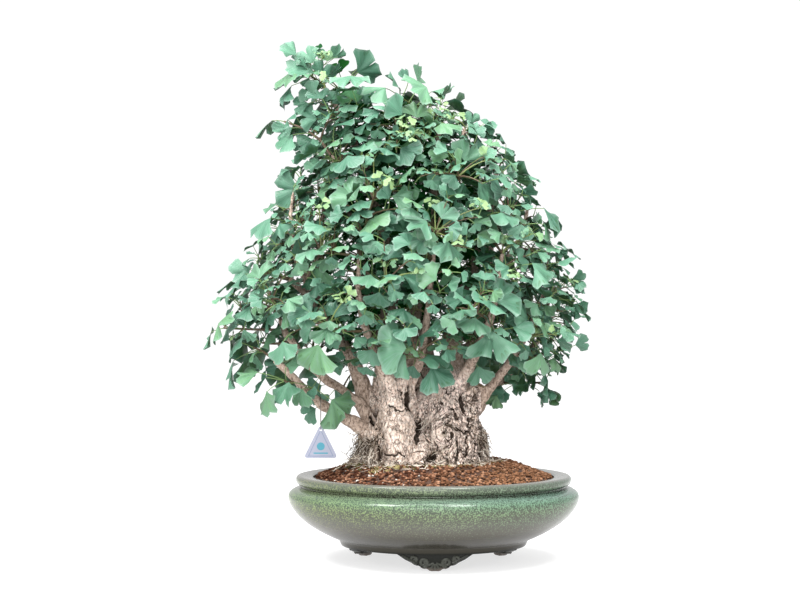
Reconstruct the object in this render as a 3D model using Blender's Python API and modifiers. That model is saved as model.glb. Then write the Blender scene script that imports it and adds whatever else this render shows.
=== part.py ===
"""A ginkgo bonsai: an old stump of fused trunks with fan-shaped leaves, in a round glazed pot.

Metres, +Z up. The sizes below are in millimetres from the pot's axis and the floor, and the front
faces -Y. At the end everything is moved so that the origin is on the floor under the middle of the
whole tree's box, because the crown leans to the left of the pot.
"""

import math
import random

import bmesh
import bpy
from mathutils import Matrix, Vector
from mathutils.bvhtree import BVHTree

# Driving dimensions, in millimetres unless the name says otherwise
MM = 0.001
GAP = 0.3                    # clearance between two pieces that touch
WELD_DISTANCE = 0.05
TURN_STEPS = 32              # facets round the pot and the soil
RIM_TOP = 116.0
LIP_RADIUS = 162.0           # inner edge of the flat rim
FOOT_HEIGHT = 22.0
DRAIN_RADIUS = 12.0
SOIL_EDGE = 112.0            # height of the soil at the rim
SOIL_TOP = 133.0             # flat top of the soil mound, where the stump stands
MOUND_RADIUS = 104.0
HOLE_RADIUS = 60.0           # plain hole in the soil that takes the root ball
HOLE_FLOOR = 60.0
SEED = 11


def mm(x, y, z):
    return Vector((x, y, z)) * MM


# The scene, its collections and materials
for old in list(bpy.data.objects):
    bpy.data.objects.remove(old)


def new_collection(name):
    collection = bpy.data.collections.new(name)
    bpy.context.scene.collection.children.link(collection)
    return collection


BONSAI = new_collection("ginkgo_bonsai")
HELPERS = new_collection("helpers")


def material(name, colour, roughness):
    made = bpy.data.materials.new(name)
    made.use_nodes = True
    shader = made.node_tree.nodes["Principled BSDF"]
    shader.inputs["Base Color"].default_value = (*colour, 1.0)
    shader.inputs["Roughness"].default_value = roughness
    shader.inputs["Metallic"].default_value = 0.0
    return made


GLAZE = material("green_glaze", (0.20, 0.25, 0.17), 0.2)
EARTH = material("baked_clay_grains", (0.25, 0.10, 0.05), 0.95)
BARK = material("cork_bark", (0.42, 0.32, 0.24), 0.9)
LEAF = material("leaf_green", (0.10, 0.30, 0.17), 0.5)
PLASTIC = material("pale_plastic", (0.62, 0.62, 0.76), 0.4)
WIRE = material("tag_wire_steel", (0.25, 0.25, 0.26), 0.4)


def helper(name, data):
    """A new object in the helpers' collection, where pieces stay until they are finished."""
    made = bpy.data.objects.new(name, data)
    HELPERS.objects.link(made)
    return made


def mesh_helper(name, bm):
    mesh = bpy.data.meshes.new(name)
    bm.to_mesh(mesh)
    bm.free()
    return helper(name, mesh)


def as_mesh(source):
    """A closed mesh object made from a curve or from an object with modifiers, which is then removed."""
    bpy.context.view_layer.update()
    graph = bpy.context.evaluated_depsgraph_get()
    mesh = bpy.data.meshes.new_from_object(source.evaluated_get(graph))
    mesh.transform(source.matrix_world)
    bm = bmesh.new()
    bm.from_mesh(mesh)
    bmesh.ops.remove_doubles(bm, verts=bm.verts, dist=WELD_DISTANCE * MM)
    bmesh.ops.recalc_face_normals(bm, faces=bm.faces)
    bm.to_mesh(mesh)
    bm.free()
    name = source.name
    bpy.data.objects.remove(source)
    return helper(name, mesh)


def split_soundly(mesh, method):
    """Splits a mesh into triangles. True if it is closed then and every edge has two faces."""
    bm = bmesh.new()
    bm.from_mesh(mesh)
    bmesh.ops.triangulate(bm, faces=bm.faces, ngon_method=method)
    sound = len(bm.faces) > 0 and all(len(edge.link_faces) == 2 for edge in bm.edges)
    bm.to_mesh(mesh)
    bm.free()
    return sound


def apply_boolean(target, others, operation):
    """Cuts the others from target, or joins them to it, and removes them."""
    group = bpy.data.collections.new("operands")
    bpy.context.scene.collection.children.link(group)
    for other in others:
        group.objects.link(other)
    step = target.modifiers.new("join", "BOOLEAN")
    step.operation = operation
    step.operand_type = "COLLECTION"
    step.collection = group
    ways = [(solver, method) for solver in ("EXACT", "MANIFOLD") for method in ("BEAUTY", "EAR_CLIP")]
    for solver, method in ways:
        step.solver = solver
        bpy.context.view_layer.update()
        graph = bpy.context.evaluated_depsgraph_get()
        joined = bpy.data.meshes.new_from_object(target.evaluated_get(graph))
        if split_soundly(joined, method):
            break
    target.modifiers.clear()
    target.data = joined
    for other in others:
        bpy.data.objects.remove(other)
    bpy.data.collections.remove(group)


def turned(name, profile):
    """A solid turned about the Z axis from a profile of (radius, height) points."""
    bm = bmesh.new()
    points = [bm.verts.new(mm(radius, 0, height)) for radius, height in profile]
    ends = points[1:] if profile[0][0] == 0 else points[1:] + points[:1]
    for start, end in zip(points, ends):
        bm.edges.new((start, end))
    made = mesh_helper(name, bm)
    screw = made.modifiers.new("turn", "SCREW")
    screw.steps = screw.render_steps = TURN_STEPS
    screw.use_merge_vertices = True
    screw.merge_threshold = 0.0001
    return as_mesh(made)


def tube(name, points, sides, closed=False):
    """A round tube through (x, y, z, radius) points in millimetres, its ends cut square."""
    curve = bpy.data.curves.new(name, "CURVE")
    curve.dimensions = "3D"
    curve.bevel_depth = MM
    curve.bevel_resolution = (sides - 4) // 2
    curve.use_fill_caps = not closed
    spline = curve.splines.new("POLY")
    spline.points.add(len(points) - 1)
    for knot, (x, y, z, radius) in zip(spline.points, points):
        knot.co = (*mm(x, y, z), 1.0)
        knot.radius = radius
    spline.use_cyclic_u = closed
    return as_mesh(helper(name, curve))


def plate(name, outlines, thickness, place):
    """A flat piece standing upright, cut to its first outline, with the others as holes in it."""
    curve = bpy.data.curves.new(name, "CURVE")
    curve.dimensions = "2D"
    curve.fill_mode = "BOTH"
    curve.extrude = thickness / 2 * MM
    for outline in outlines:
        spline = curve.splines.new("POLY")
        spline.points.add(len(outline) - 1)
        for knot, (across, height) in zip(spline.points, outline):
            knot.co = (across * MM, height * MM, 0.0, 1.0)
        spline.use_cyclic_u = True
    made = helper(name, curve)
    made.matrix_world = place @ Matrix.Rotation(math.pi / 2, 4, "X")
    return as_mesh(made)


def finish_node(made, finish, smooth_deg=40):
    """Moves a helper into the bonsai's own collection, with its material and smooth shading."""
    HELPERS.objects.unlink(made)
    BONSAI.objects.link(made)
    made.data.materials.clear()
    made.data.materials.append(finish)
    made.data.shade_smooth()
    made.data.set_sharp_from_angle(angle=math.radians(smooth_deg))
    return made


# The pot: a shallow bowl with a flat inturned rim, a groove under it, a round belly,
# a low foot ring and three cloud feet, all one fired piece
POT_OUTSIDE = [
    (LIP_RADIUS, 114.5), (181, RIM_TOP), (185.3, 112), (184, 105.5),
    (178, 102), (183, 98.5), (192, 95), (196, 87),
    (190.5, 72), (174, 55), (152, 41), (127.5, 30),
    (125, FOOT_HEIGHT), (112, FOOT_HEIGHT), (109, 27), (DRAIN_RADIUS, 28),
]
POT_INSIDE = [(DRAIN_RADIUS, 38), (118, 41), (174, 71), (183, 87), (161.5, 104.5)]
# Half of a foot's scalloped outline, from the middle of its sole: (across, height)
FOOT_OUTLINE = [(8, 0), (10, 3.4), (18, 4), (20.5, 7.4), (28, 8), (38, 14), (50, FOOT_HEIGHT), (50, 31)]
FOOT_FACE = 114.0            # how far a foot's front face stands from the pot's axis
FOOT_THICKNESS = 15.0
FOOT_COUNT = 3


def cloud_foot(turn):
    """One scalloped foot, wide where it meets the ring and narrow on the floor."""
    outline = FOOT_OUTLINE + [(-across, height) for across, height in reversed(FOOT_OUTLINE)]
    outward = Matrix.Translation(mm(0, -FOOT_FACE + FOOT_THICKNESS / 2, 0))
    return plate("foot", [outline], FOOT_THICKNESS, Matrix.Rotation(turn, 4, "Z") @ outward)


def make_pot():
    pot = turned("pot", POT_OUTSIDE + POT_INSIDE)
    feet = [cloud_foot(math.tau * place / FOOT_COUNT) for place in range(FOOT_COUNT)]
    apply_boolean(pot, feet, "UNION")
    return finish_node(pot, GLAZE)


# The soil: baked clay grains, mounded from the rim up to the stump
SOIL_INSET = 1.0             # how far the soil's sides stand in from the pot's inner wall
SOIL_PROFILE = [
    (0, HOLE_FLOOR), (HOLE_RADIUS, HOLE_FLOOR), (HOLE_RADIUS, SOIL_TOP), (MOUND_RADIUS, SOIL_TOP),
    (LIP_RADIUS - SOIL_INSET, SOIL_EDGE),
]
SOIL_PROFILE += [(radius - SOIL_INSET, height + GAP) for radius, height in reversed(POT_INSIDE[1:])]
SOIL_PROFILE += [(0, POT_INSIDE[0][1] + GAP)]


def make_soil():
    return finish_node(turned("soil", SOIL_PROFILE), EARTH)


# The tree's wood: every stem starts in the stump and carries on as a branch.
# Points are (x, y, z, radius); a stem that ends thick is a pruned stub.
STEMS = {
    "core": [(-10, 0, 124, 64), (-10, 0, 165, 58), (-10, 2, 205, 44), (-10, 5, 236, 28)],
    "leader": [
        (-62, 10, 124, 34), (-60, 5, 170, 31), (-62, 0, 212, 24), (-65, 0, 250, 16),
        (-65, -5, 300, 12), (-58, -5, 365, 10.5), (-66, -5, 440, 8.5), (-92, -8, 530, 6.5),
        (-120, -8, 592, 4.6), (-146, -8, 638, 3),
    ],
    "front_stem": [
        (-50, -50, 124, 37), (-50, -50, 165, 33), (-48, -48, 200, 27), (-45, -50, 228, 21),
        (-40, -48, 262, 14), (-30, -40, 315, 11), (-16, -31, 390, 8.6), (-4, -28, 465, 7),
        (2, -27, 530, 5), (8, -24, 594, 3),
    ],
    "right_stem": [
        (18, -42, 124, 43), (20, -40, 165, 38), (22, -32, 205, 32), (22, -22, 240, 25),
        (24, -15, 272, 16), (27, -12, 315, 12), (46, -6, 378, 8.4), (72, -2, 445, 6),
        (86, 0, 526, 3.2),
    ],
    "right_base": [(47, -6, 124, 31), (45, -2, 165, 26), (40, 4, 200, 19)],
    "burl": [(11, -44, 168, 12), (11.5, -52, 170, 18), (12, -64, 176, 18), (12.5, -72, 181, 8)],
    "left_stem": [
        (-82, -12, 124, 27), (-80, -10, 165, 22), (-80, -8, 197, 16), (-98, -14, 242, 11),
        (-110, -16, 276, 9.5), (-145, -20, 318, 8.6), (-157, -20, 357, 8.6), (-166, -20, 396, 9),
    ],
    "left_branch": [
        (-64, -25, 168, 12), (-84, -28, 183, 11), (-98, -30, 212, 8.6), (-116, -30, 227, 7),
        (-142, -30, 244, 6.2), (-169, -28, 267, 6), (-186, -26, 292, 5.7),
        (-198, -25, 306, 5.5), (-205, -25, 326, 5.2),
    ],
    "low_left_branch": [
        (-62, -34, 160, 14), (-90, -42, 177, 11.5), (-114, -48, 191, 8.6), (-132, -52, 203, 7),
        (-150, -55, 214, 6.2), (-167, -57, 230, 5.7), (-184, -58, 247, 5.3),
        (-198, -58, 260, 5.1), (-211, -58, 273, 5),
    ],
    "right_branch": [
        (38, -22, 184, 14), (57, -30, 211, 8.6), (80, -35, 241, 6.4), (103, -38, 271, 6),
        (120, -38, 300, 5), (138, -36, 335, 4.2), (150, -32, 370, 3.2),
    ],
    "low_right_branch": [
        (42, 22, 184, 13), (66, 38, 212, 7.5), (92, 48, 238, 5.6), (125, 55, 272, 4.6),
        (152, 56, 303, 3.6),
    ],
    "right_stub": [(36, -30, 188, 14), (46, -38, 212, 11), (60, -42, 240, 9.6)],
    "back_left_stem": [
        (-45, 48, 124, 36), (-45, 48, 165, 33), (-48, 52, 205, 25), (-58, 62, 245, 15),
        (-72, 78, 290, 11), (-92, 96, 365, 8.2), (-104, 90, 455, 6), (-100, 65, 550, 3.2),
    ],
    "back_right_stem": [
        (25, 45, 124, 38), (26, 45, 165, 34), (30, 50, 205, 25), (40, 62, 245, 15),
        (56, 78, 290, 11), (78, 92, 365, 8), (80, 84, 445, 5.6), (72, 68, 505, 4),
    ],
    "back_stem": [
        (-10, 56, 124, 36), (-10, 60, 170, 31), (-8, 70, 215, 21), (-8, 88, 260, 12),
        (-11, 114, 330, 8), (-10, 112, 410, 5.4), (-8, 98, 470, 3.6),
    ],
    "front_left_branch": [
        (-46, -48, 215, 13), (-62, -78, 248, 8), (-78, -100, 280, 6.5), (-92, -112, 320, 5.5),
        (-100, -110, 365, 4.5), (-98, -98, 408, 3.4),
    ],
    "front_branch": [
        (-34, -42, 240, 11), (-20, -75, 268, 7), (-14, -100, 300, 6), (-8, -112, 345, 5),
        (-4, -108, 392, 4), (2, -94, 436, 3),
    ],
    "front_right_branch": [
        (26, -30, 228, 12), (42, -55, 256, 8), (58, -80, 288, 6.5), (72, -95, 325, 5.5),
        (84, -96, 370, 4.5), (88, -85, 412, 3.4),
    ],
    "left_shoot": [
        (-156, -20, 345, 6), (-170, -20, 374, 5), (-182, -22, 398, 4.6), (-189, -22, 428, 4.2),
        (-192, -20, 465, 3.5), (-188, -18, 498, 2.8),
    ],
    "left_back_shoot": [
        (-148, -16, 322, 6), (-154, 5, 360, 5), (-155, 15, 400, 4.5), (-152, 18, 440, 4),
        (-148, 15, 490, 3.4), (-146, 12, 536, 2.6),
    ],
    "left_stub": [(-150, -20, 340, 6), (-172, -25, 360, 5.5), (-193, -28, 380, 5)],
    "top_fork": [(-5, -28, 455, 6), (12, -30, 500, 4.5), (30, -32, 545, 3.6), (42, -30, 582, 2.6)],
    "right_fork": [
        (36, -8, 350, 7), (68, 0, 380, 5), (98, 5, 405, 4.4), (120, 5, 440, 3.6), (128, 5, 478, 2.8),
    ],
    "left_fork": [
        (-60, -5, 398, 7), (-88, -15, 430, 5), (-112, -25, 465, 4.4), (-128, -30, 505, 3.6),
        (-135, -30, 545, 2.8),
    ],
}
SIDES_BY_RADIUS = ((20, 10), (12, 8), (0, 6))   # a stem that starts over this radius has this many sides
ROOT_COUNT = 11
ROOT_REACH = (104, 97)       # how far the root flares reach, sideways and to the front
ROOT_SHAPE = ((0.39, 176, 17), (0.62, 152, 17), (0.86, 130, 13))   # share of the reach, height, radius
ROOT_SCATTER = 0.2           # how far a root strays from even spacing, as a share of the space
STUMP_MIDDLE = (-16, 0)
ROOT_BALL_OVERLAP = 12.0     # how far the root ball reaches up into the stump
CUTTER_SIZE = 500.0


def stem_tube(name, points):
    sides = next(sides for radius, sides in SIDES_BY_RADIUS if points[0][3] > radius)
    return tube(name, points, sides)


def root_flare(place, rng):
    """One buttress root, from the stump's side out and down under the soil's top."""
    turn = math.tau * (place + rng.uniform(-ROOT_SCATTER, ROOT_SCATTER)) / ROOT_COUNT
    reach = rng.uniform(0.84, 1.0)
    points = []
    for share, height, radius in ROOT_SHAPE:
        across = STUMP_MIDDLE[0] + math.cos(turn) * ROOT_REACH[0] * share * reach
        deep = STUMP_MIDDLE[1] + math.sin(turn) * ROOT_REACH[1] * share * reach
        points.append((across, deep, height, radius))
    return tube("root", points, 6)


def make_trunk():
    """The stump, stems, stubs and roots as one piece of wood, flat where it stands on the soil."""
    rng = random.Random(SEED)
    pieces = [stem_tube(name, points) for name, points in STEMS.items()]
    pieces += [root_flare(place, rng) for place in range(ROOT_COUNT)]
    trunk = pieces.pop(0)
    apply_boolean(trunk, pieces, "UNION")
    bpy.ops.mesh.primitive_cube_add(size=CUTTER_SIZE * MM)
    below = bpy.context.object
    below.location.z = (SOIL_TOP + GAP - CUTTER_SIZE / 2) * MM
    bpy.context.view_layer.update()
    apply_boolean(trunk, [below], "DIFFERENCE")
    ball_radius = HOLE_RADIUS - GAP
    ball_top = SOIL_TOP + ROOT_BALL_OVERLAP
    ball_floor = HOLE_FLOOR + GAP
    root_ball = turned("root_ball", [
        (0, ball_top), (ball_radius, ball_top), (ball_radius, ball_floor), (0, ball_floor),
    ])
    apply_boolean(trunk, [root_ball], "UNION")
    trunk.name = trunk.data.name = "trunk"
    return finish_node(trunk, BARK)


# The shop tag: a plain plastic triangle on a wire loop round the low left branch
TAG_BRANCH = (-150, -55, 214, 6.2)              # the branch's axis and radius under the loop
BRANCH_SLOPE = math.radians(43)
TAG_WIDTH = 42.0
TAG_HEIGHT = 42.0
TAG_THICKNESS = 1.0
TAG_CORNER = 3.0
TAG_EYE_RADIUS = 1.5
TAG_EYE_DROP = 5.0           # from the tag's top corner down to its eye
CORNER_STEPS = 4
EYE_STEPS = 10
WIRE_RADIUS = 0.45
WIRE_SLACK = 0.4             # how much wider than the branch the loop is
LOOP_LENGTH = 34.0           # from the branch's axis down to the foot of the loop
LOOP_FOOT_RADIUS = 2.2
LOOP_STEPS = 8


def arc(centre, radius, start, turn, steps):
    return [
        (centre[0] + radius * math.cos(start + turn * step / steps),
         centre[1] + radius * math.sin(start + turn * step / steps))
        for step in range(steps + 1)
    ]


def tag_outline():
    """The tag's rounded triangle, measured from the middle of its eye."""
    top = TAG_EYE_DROP - TAG_CORNER
    low = TAG_EYE_DROP - TAG_HEIGHT + TAG_CORNER
    half = TAG_WIDTH / 2 - TAG_CORNER
    lean = math.atan2(top - low, half)
    right = arc((half, low), TAG_CORNER, -math.pi / 2, math.pi - lean, CORNER_STEPS)
    apex = arc((0, top), TAG_CORNER, math.pi / 2 - lean, 2 * lean, CORNER_STEPS)
    left = arc((-half, low), TAG_CORNER, math.pi / 2 + lean, math.pi - lean, CORNER_STEPS)
    return right + apex + left


def make_tag(eye):
    """The tag plate, facing the front, with its eye at the given place."""
    ring = arc((0, 0), TAG_EYE_RADIUS, 0, math.tau, EYE_STEPS)[:-1]
    tag = plate("tag_plate", [tag_outline(), ring], TAG_THICKNESS, Matrix.Translation(eye))
    return finish_node(tag, PLASTIC, smooth_deg=30)


def make_tag_wire():
    """A closed wire loop that rests on the branch, and its foot, where the tag's eye hangs."""
    x, y, z, branch = TAG_BRANCH
    slack = WIRE_RADIUS + GAP + WIRE_SLACK
    tall = branch / math.cos(BRANCH_SLOPE) + slack
    foot = z - LOOP_LENGTH
    over = [
        (x, y + (branch + slack) * cross, z + tall * rise, WIRE_RADIUS)
        for cross, rise in arc((0, 0), 1.0, 0, math.pi, LOOP_STEPS)
    ]
    under = [
        (x, y + cross, foot + LOOP_FOOT_RADIUS + rise, WIRE_RADIUS)
        for cross, rise in arc((0, 0), LOOP_FOOT_RADIUS, math.pi, math.pi, LOOP_STEPS // 2)
    ]
    return finish_node(tube("tag_wire", over + under, 6, closed=True), WIRE), mm(x, y, foot)


# The crown: leafy sprays that fill its outline. Rows are (height, left edge, right edge, half depth).
CROWN_OUTLINE = [
    (235, -190, 140, 110), (270, -255, 178, 160), (320, -292, 208, 188), (370, -274, 198, 182),
    (430, -240, 170, 166), (490, -206, 140, 146), (550, -180, 106, 120), (600, -176, 50, 86),
    (640, -182, -25, 56), (690, -178, -118, 26),
]
SPRAY_COUNT = 40
SPRAY_INSET = 40.0           # the leaves stand this far beyond the end of their stem
LOWEST_TIP = 258.0
HIGHEST_TIP = 640.0
GOLDEN_ANGLE = math.radians(137.508)
# Sprays that stand out of the crown: tip, then how many leaves
OUTLYING_SPRAYS = [
    ((-164, -8, 652), 6), ((-112, -14, 644), 4), ((-280, -34, 314), 6), ((-240, -40, 288), 5),
    ((-198, -72, 246), 4), ((-158, -78, 236), 5), ((150, 12, 240), 4), ((-200, -26, 590), 4),
]
FRONT_LEAVES = 7
BACK_LEAVES = 4
FRONT_LIMIT = 20.0           # a spray whose tip is nearer the front than this carries more leaves
LEAN_FROM = 430.0            # above this height the crown faces more and more upward
LEAN_SPAN = 260.0
LEAST_LEAN = 0.15
MOST_LEAN = 0.9
THIN_STEM = 9.5              # sprays grow on wood thinner than this
LOWEST_SPRAY = 200.0
SAMPLES_A_SPAN = 4
STEM_RADII = (2.1, 1.9, 1.6, 1.3)
STEM_CLEARANCE = 2.6
SHORTEST_STEM = 20.0
LONGEST_STEM = 190.0
DROP_COST = 1.2              # how much a stem that has to grow downward counts as longer
STEM_TRIES = 60
SEAT_TRIES = 12
SEAT_STEP = 0.2              # each try sets the stem's foot this much further off the bark
STEM_BEND = (0.25, 0.2, 0.075)   # how far it sets out along the bark's normal, to its tip, and up
LEAF_THICKNESS = 0.8
LEAF_SIZES = (21, 25, 28, 32, 37)
SIZE_SPREAD = (0.82, 1.2)
PETIOLE_WIDTH = 1.7
PETIOLE_SHARE = (0.75, 1.15)     # a petiole's length, as a share of its blade's
PETIOLE_WAY = (0.8, 0.5, 0.35, 0.15, 0.3)   # sideways, outward, along the stem, up, and at random
FACE_WAY = (0.85, 0.6, 0.45)     # how much a blade faces outward, up, and at random
DROOP = (0.5, 1.35)              # how far a blade bends down from its petiole, in radians
ARCH = (-0.12, 0.3)
WAVE = (-0.1, 0.1)
NOTCH = (0.6, 0.82)
TOP_LEAF = 0.985             # where the last leaf sits along its stem
LEAFY_LENGTH = 0.62          # the share of the stem that carries leaves
LEAF_TRIES = 26
TRY_TURN = 1.1               # each try turns this much further round the stem, in radians
TRY_SHRINK = 0.017           # and is this much smaller
ROOT_SHARE = 0.35            # the share of a petiole that may touch its neighbours on the stem
LEAF_CLEARANCE = 0.9
LOWEST_LEAF = 205.0
FAN_HALF_ANGLE = math.radians(66)
# The fan's outer edge: turn from the middle, radius (None at the notch), and its share of the wave
FAN_EDGE = ((1.0, 0.92, 0.5), (0.5, 1.0, -1.0), (0.0, None, 0.6), (-0.5, 1.0, 1.0), (-1.0, 0.92, -0.5))
LEAF_FACES = ((0, 1, 2, 8), (2, 3, 4), (2, 4, 5), (2, 5, 8), (8, 5, 6), (8, 6, 7))


def crown_row(height):
    """Left edge, right edge and half depth of the crown at a height, between the rows above."""
    rows = CROWN_OUTLINE
    height = min(max(height, rows[0][0]), rows[-1][0])
    for low, high in zip(rows, rows[1:]):
        if height <= high[0]:
            share = (height - low[0]) / (high[0] - low[0])
            return [a + (b - a) * share for a, b in zip(low[1:], high[1:])]
    return list(rows[-1][1:])


def crown_tips():
    """Spray tips spread evenly over the crown, by the golden angle round it and by girth up it."""
    heights = range(int(LOWEST_TIP), int(HIGHEST_TIP))
    girths = []
    for height in heights:
        left, right, depth = crown_row(height)
        girths.append((right - left) / 2 + depth - SPRAY_INSET)
    total, done, tips = sum(girths), 0.0, []
    for height, girth in zip(heights, girths):
        done += girth / total * SPRAY_COUNT
        if done >= len(tips) + 0.5:
            left, right, depth = crown_row(height)
            angle = GOLDEN_ANGLE * len(tips)
            half = (right - left) / 2 - SPRAY_INSET
            tips.append(mm(
                (left + right) / 2 + half * math.cos(angle),
                (depth - SPRAY_INSET) * math.sin(angle), height,
            ))
    return tips


def outward_at(point):
    """The way that the crown faces at a point: out from its axis, and more upward near its top."""
    left, right, depth = crown_row(point.z / MM)
    flat = Vector(((point.x / MM - (left + right) / 2) / (right - left), point.y / MM / (2 * depth), 0))
    share = max(0.0, (point.z / MM - LEAN_FROM) / LEAN_SPAN)
    lean = LEAST_LEAN + (MOST_LEAN - LEAST_LEAN) * share
    return (flat.normalized() + Vector((0, 0, lean))).normalized()


def stem_samples():
    """Points on the thin part of every stem, as (centre, radius), where a spray can grow."""
    samples = []
    for points in STEMS.values():
        for first, second in zip(points, points[1:]):
            for step in range(SAMPLES_A_SPAN):
                share = step / SAMPLES_A_SPAN
                x, y, z, radius = [a + (b - a) * share for a, b in zip(first, second)]
                if radius < THIN_STEM and z > LOWEST_SPRAY:
                    samples.append((mm(x, y, z), radius * MM))
        samples.append((mm(*points[-1][:3]), points[-1][3] * MM))
    return samples


def bezier(start, bend, end, count):
    return [
        start * (1 - t) ** 2 + bend * 2 * t * (1 - t) + end * t * t
        for t in (step / count for step in range(count + 1))
    ]


def tube_polygons(path, radius, sides=8):
    """Corners and faces of a plain tube along a path, for testing what it runs into."""
    corners, faces = [], []
    for here, (low, high) in enumerate(zip([path[0], *path[:-1]], [*path[1:], path[-1]])):
        along = (high - low).normalized()
        side = along.orthogonal().normalized()
        other = along.cross(side)
        for step in range(sides):
            angle = math.tau * step / sides
            corners.append(path[here] + (side * math.cos(angle) + other * math.sin(angle)) * radius)
    for here in range(len(path) - 1):
        for step in range(sides):
            a, b = here * sides + step, here * sides + (step + 1) % sides
            faces.append((a, b, b + sides, a + sides))
    return corners, faces


class Obstacles:
    """Everything already in place, each with its owner, which a new stem or leaf keeps clear of."""

    def __init__(self, solids):
        self.trees = []
        for solid in solids:
            bm = bmesh.new()
            bm.from_mesh(solid.data)
            self.trees.append((solid.name, BVHTree.FromBMesh(bm)))
            bm.free()

    def add(self, owner, corners, faces):
        self.trees.append((owner, BVHTree.FromPolygons(corners, faces)))

    def of(self, owner):
        return next(tree for name, tree in self.trees if name == owner)

    def meets(self, corners, faces, apart_from=None):
        tree = BVHTree.FromPolygons(corners, faces)
        return any(tree.overlap(other) for name, other in self.trees if name != apart_from)


def find_stem(tip, samples, obstacles):
    """The shortest clear stem from just off the bark to a spray's tip, as a path, or None."""
    def cost(sample):
        reach = tip - sample[0]
        return reach.length + DROP_COST * max(0.0, -reach.z)

    bark = obstacles.of("trunk")
    for centre, radius in sorted(samples, key=cost)[:STEM_TRIES]:
        reach = tip - centre
        if not SHORTEST_STEM * MM < reach.length < LONGEST_STEM * MM:
            continue
        away = reach.normalized()
        seat, normal, _, _ = bark.find_nearest(centre + away * (radius + MM))
        off_bark, to_tip, upward = STEM_BEND
        bend = (normal * off_bark + away * to_tip + Vector((0, 0, upward))) * reach.length
        for lift in range(SEAT_TRIES):
            start = seat + normal * (GAP + SEAT_STEP * lift) * MM
            path = bezier(start, start + bend, tip, len(STEM_RADII) - 1)
            if bark_hit(bark, path, STEM_RADII[0] + WELD_DISTANCE):
                continue
            if bark_hit(bark, path[1:], STEM_CLEARANCE):
                break
            if not obstacles.meets(*tube_polygons(path, STEM_CLEARANCE * MM), apart_from="trunk"):
                return path
            break
    return None


def bark_hit(bark, path, radius):
    return bool(BVHTree.FromPolygons(*tube_polygons(path, radius * MM)).overlap(bark))


def leaf_mesh(leaf, thickness, start=0.0):
    """A closed blade: a flat petiole from root to base, and a notched, waved fan beyond it.

    A start above 0 leaves out that share of the petiole. The petiole's sides stay flat, which
    keeps the joint with the stem simple.
    """
    root, base, radius = leaf["root"].lerp(leaf["base"], start), leaf["base"], leaf["radius"]
    across, along, up = leaf["across"], leaf["along"], leaf["up"]
    half = across * PETIOLE_WIDTH / 2 * MM
    petiole_up = across.cross((leaf["base"] - leaf["root"]).normalized())
    mitre = petiole_up + up
    mitre *= 2 / mitre.length_squared
    corners = [(root - half, petiole_up), (root + half, petiole_up), (base + half, mitre)]
    for turn, share, wave in FAN_EDGE:
        share = leaf["notch"] if share is None else share
        side = math.sin(turn * FAN_HALF_ANGLE) * share * radius
        ahead = math.cos(turn * FAN_HALF_ANGLE) * share * radius
        drop = leaf["arch"] * (side * side + 0.5 * ahead * ahead) / radius + leaf["wave"] * wave * radius
        corners.append((base + across * side + along * ahead - up * drop, up))
    corners.append((base - half, mitre))
    bm = bmesh.new()
    top = [bm.verts.new(corner + lift * thickness / 2 * MM) for corner, lift in corners]
    bottom = [bm.verts.new(corner - lift * thickness / 2 * MM) for corner, lift in corners]
    for face in LEAF_FACES:
        bm.faces.new([top[index] for index in face])
        bm.faces.new([bottom[index] for index in reversed(face)])
    for here in range(len(corners)):
        after = (here + 1) % len(corners)
        bm.faces.new([top[after], top[here], bottom[here], bottom[after]])
    bmesh.ops.recalc_face_normals(bm, faces=bm.faces)
    return bm


def polygons_of(bm):
    bm.verts.index_update()
    corners = [vert.co.copy() for vert in bm.verts]
    faces = [[vert.index for vert in face.verts] for face in bm.faces]
    bm.free()
    return corners, faces


def weighted(weights, ways):
    return sum((way * weight for weight, way in zip(weights, ways)), Vector()).normalized()


def draw_leaf(rng, root, stem_way, spread, size):
    """One try at a leaf: its petiole leaves the stem sideways, and its fan faces out and hangs."""
    out, upward = outward_at(root), Vector((0, 0, 1))
    jitter, tilt = (Vector([rng.uniform(-1, 1) for _ in range(3)]) for _ in range(2))
    petiole = weighted(PETIOLE_WAY, (spread, out, stem_way, upward, jitter))
    radius = size * rng.uniform(*SIZE_SPREAD)
    across = petiole.cross(weighted(FACE_WAY, (out, upward, tilt))).normalized()
    along = Matrix.Rotation(-rng.uniform(*DROOP), 3, across) @ petiole
    return {
        "root": root, "base": root + petiole * radius * rng.uniform(*PETIOLE_SHARE),
        "across": across, "along": along, "up": across.cross(along), "radius": radius,
        "arch": rng.uniform(*ARCH), "wave": rng.uniform(*WAVE), "notch": rng.uniform(*NOTCH),
    }


def place_leaf(rng, spray, share, turn, size, obstacles):
    """Draws leaves at one place on a stem until one is clear of the rest. Returns it, or None."""
    path = spray["path"]
    here = min(int(share * (len(path) - 1)), len(path) - 2)
    root = path[here].lerp(path[here + 1], share * (len(path) - 1) - here)
    stem_way = (path[here + 1] - path[here]).normalized()
    side = stem_way.orthogonal().normalized()
    for attempt in range(LEAF_TRIES):
        angle = turn + attempt * TRY_TURN
        spread = side * math.cos(angle) + stem_way.cross(side) * math.sin(angle)
        leaf = draw_leaf(rng, root, stem_way, spread, size * (1 - TRY_SHRINK * attempt))
        if leaf["base"].z < LOWEST_LEAF * MM:
            continue
        thick = LEAF_THICKNESS + 2 * LEAF_CLEARANCE
        whole = polygons_of(leaf_mesh(leaf, thick))
        if obstacles.meets(*whole, apart_from=spray["name"]):
            continue
        blade = polygons_of(leaf_mesh(leaf, thick, start=ROOT_SHARE))
        if not any(BVHTree.FromPolygons(*blade).overlap(other) for other in spray["blades"]):
            spray["blades"].append(BVHTree.FromPolygons(*blade))
            obstacles.add(spray["name"], *whole)
            return leaf
    return None


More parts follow.
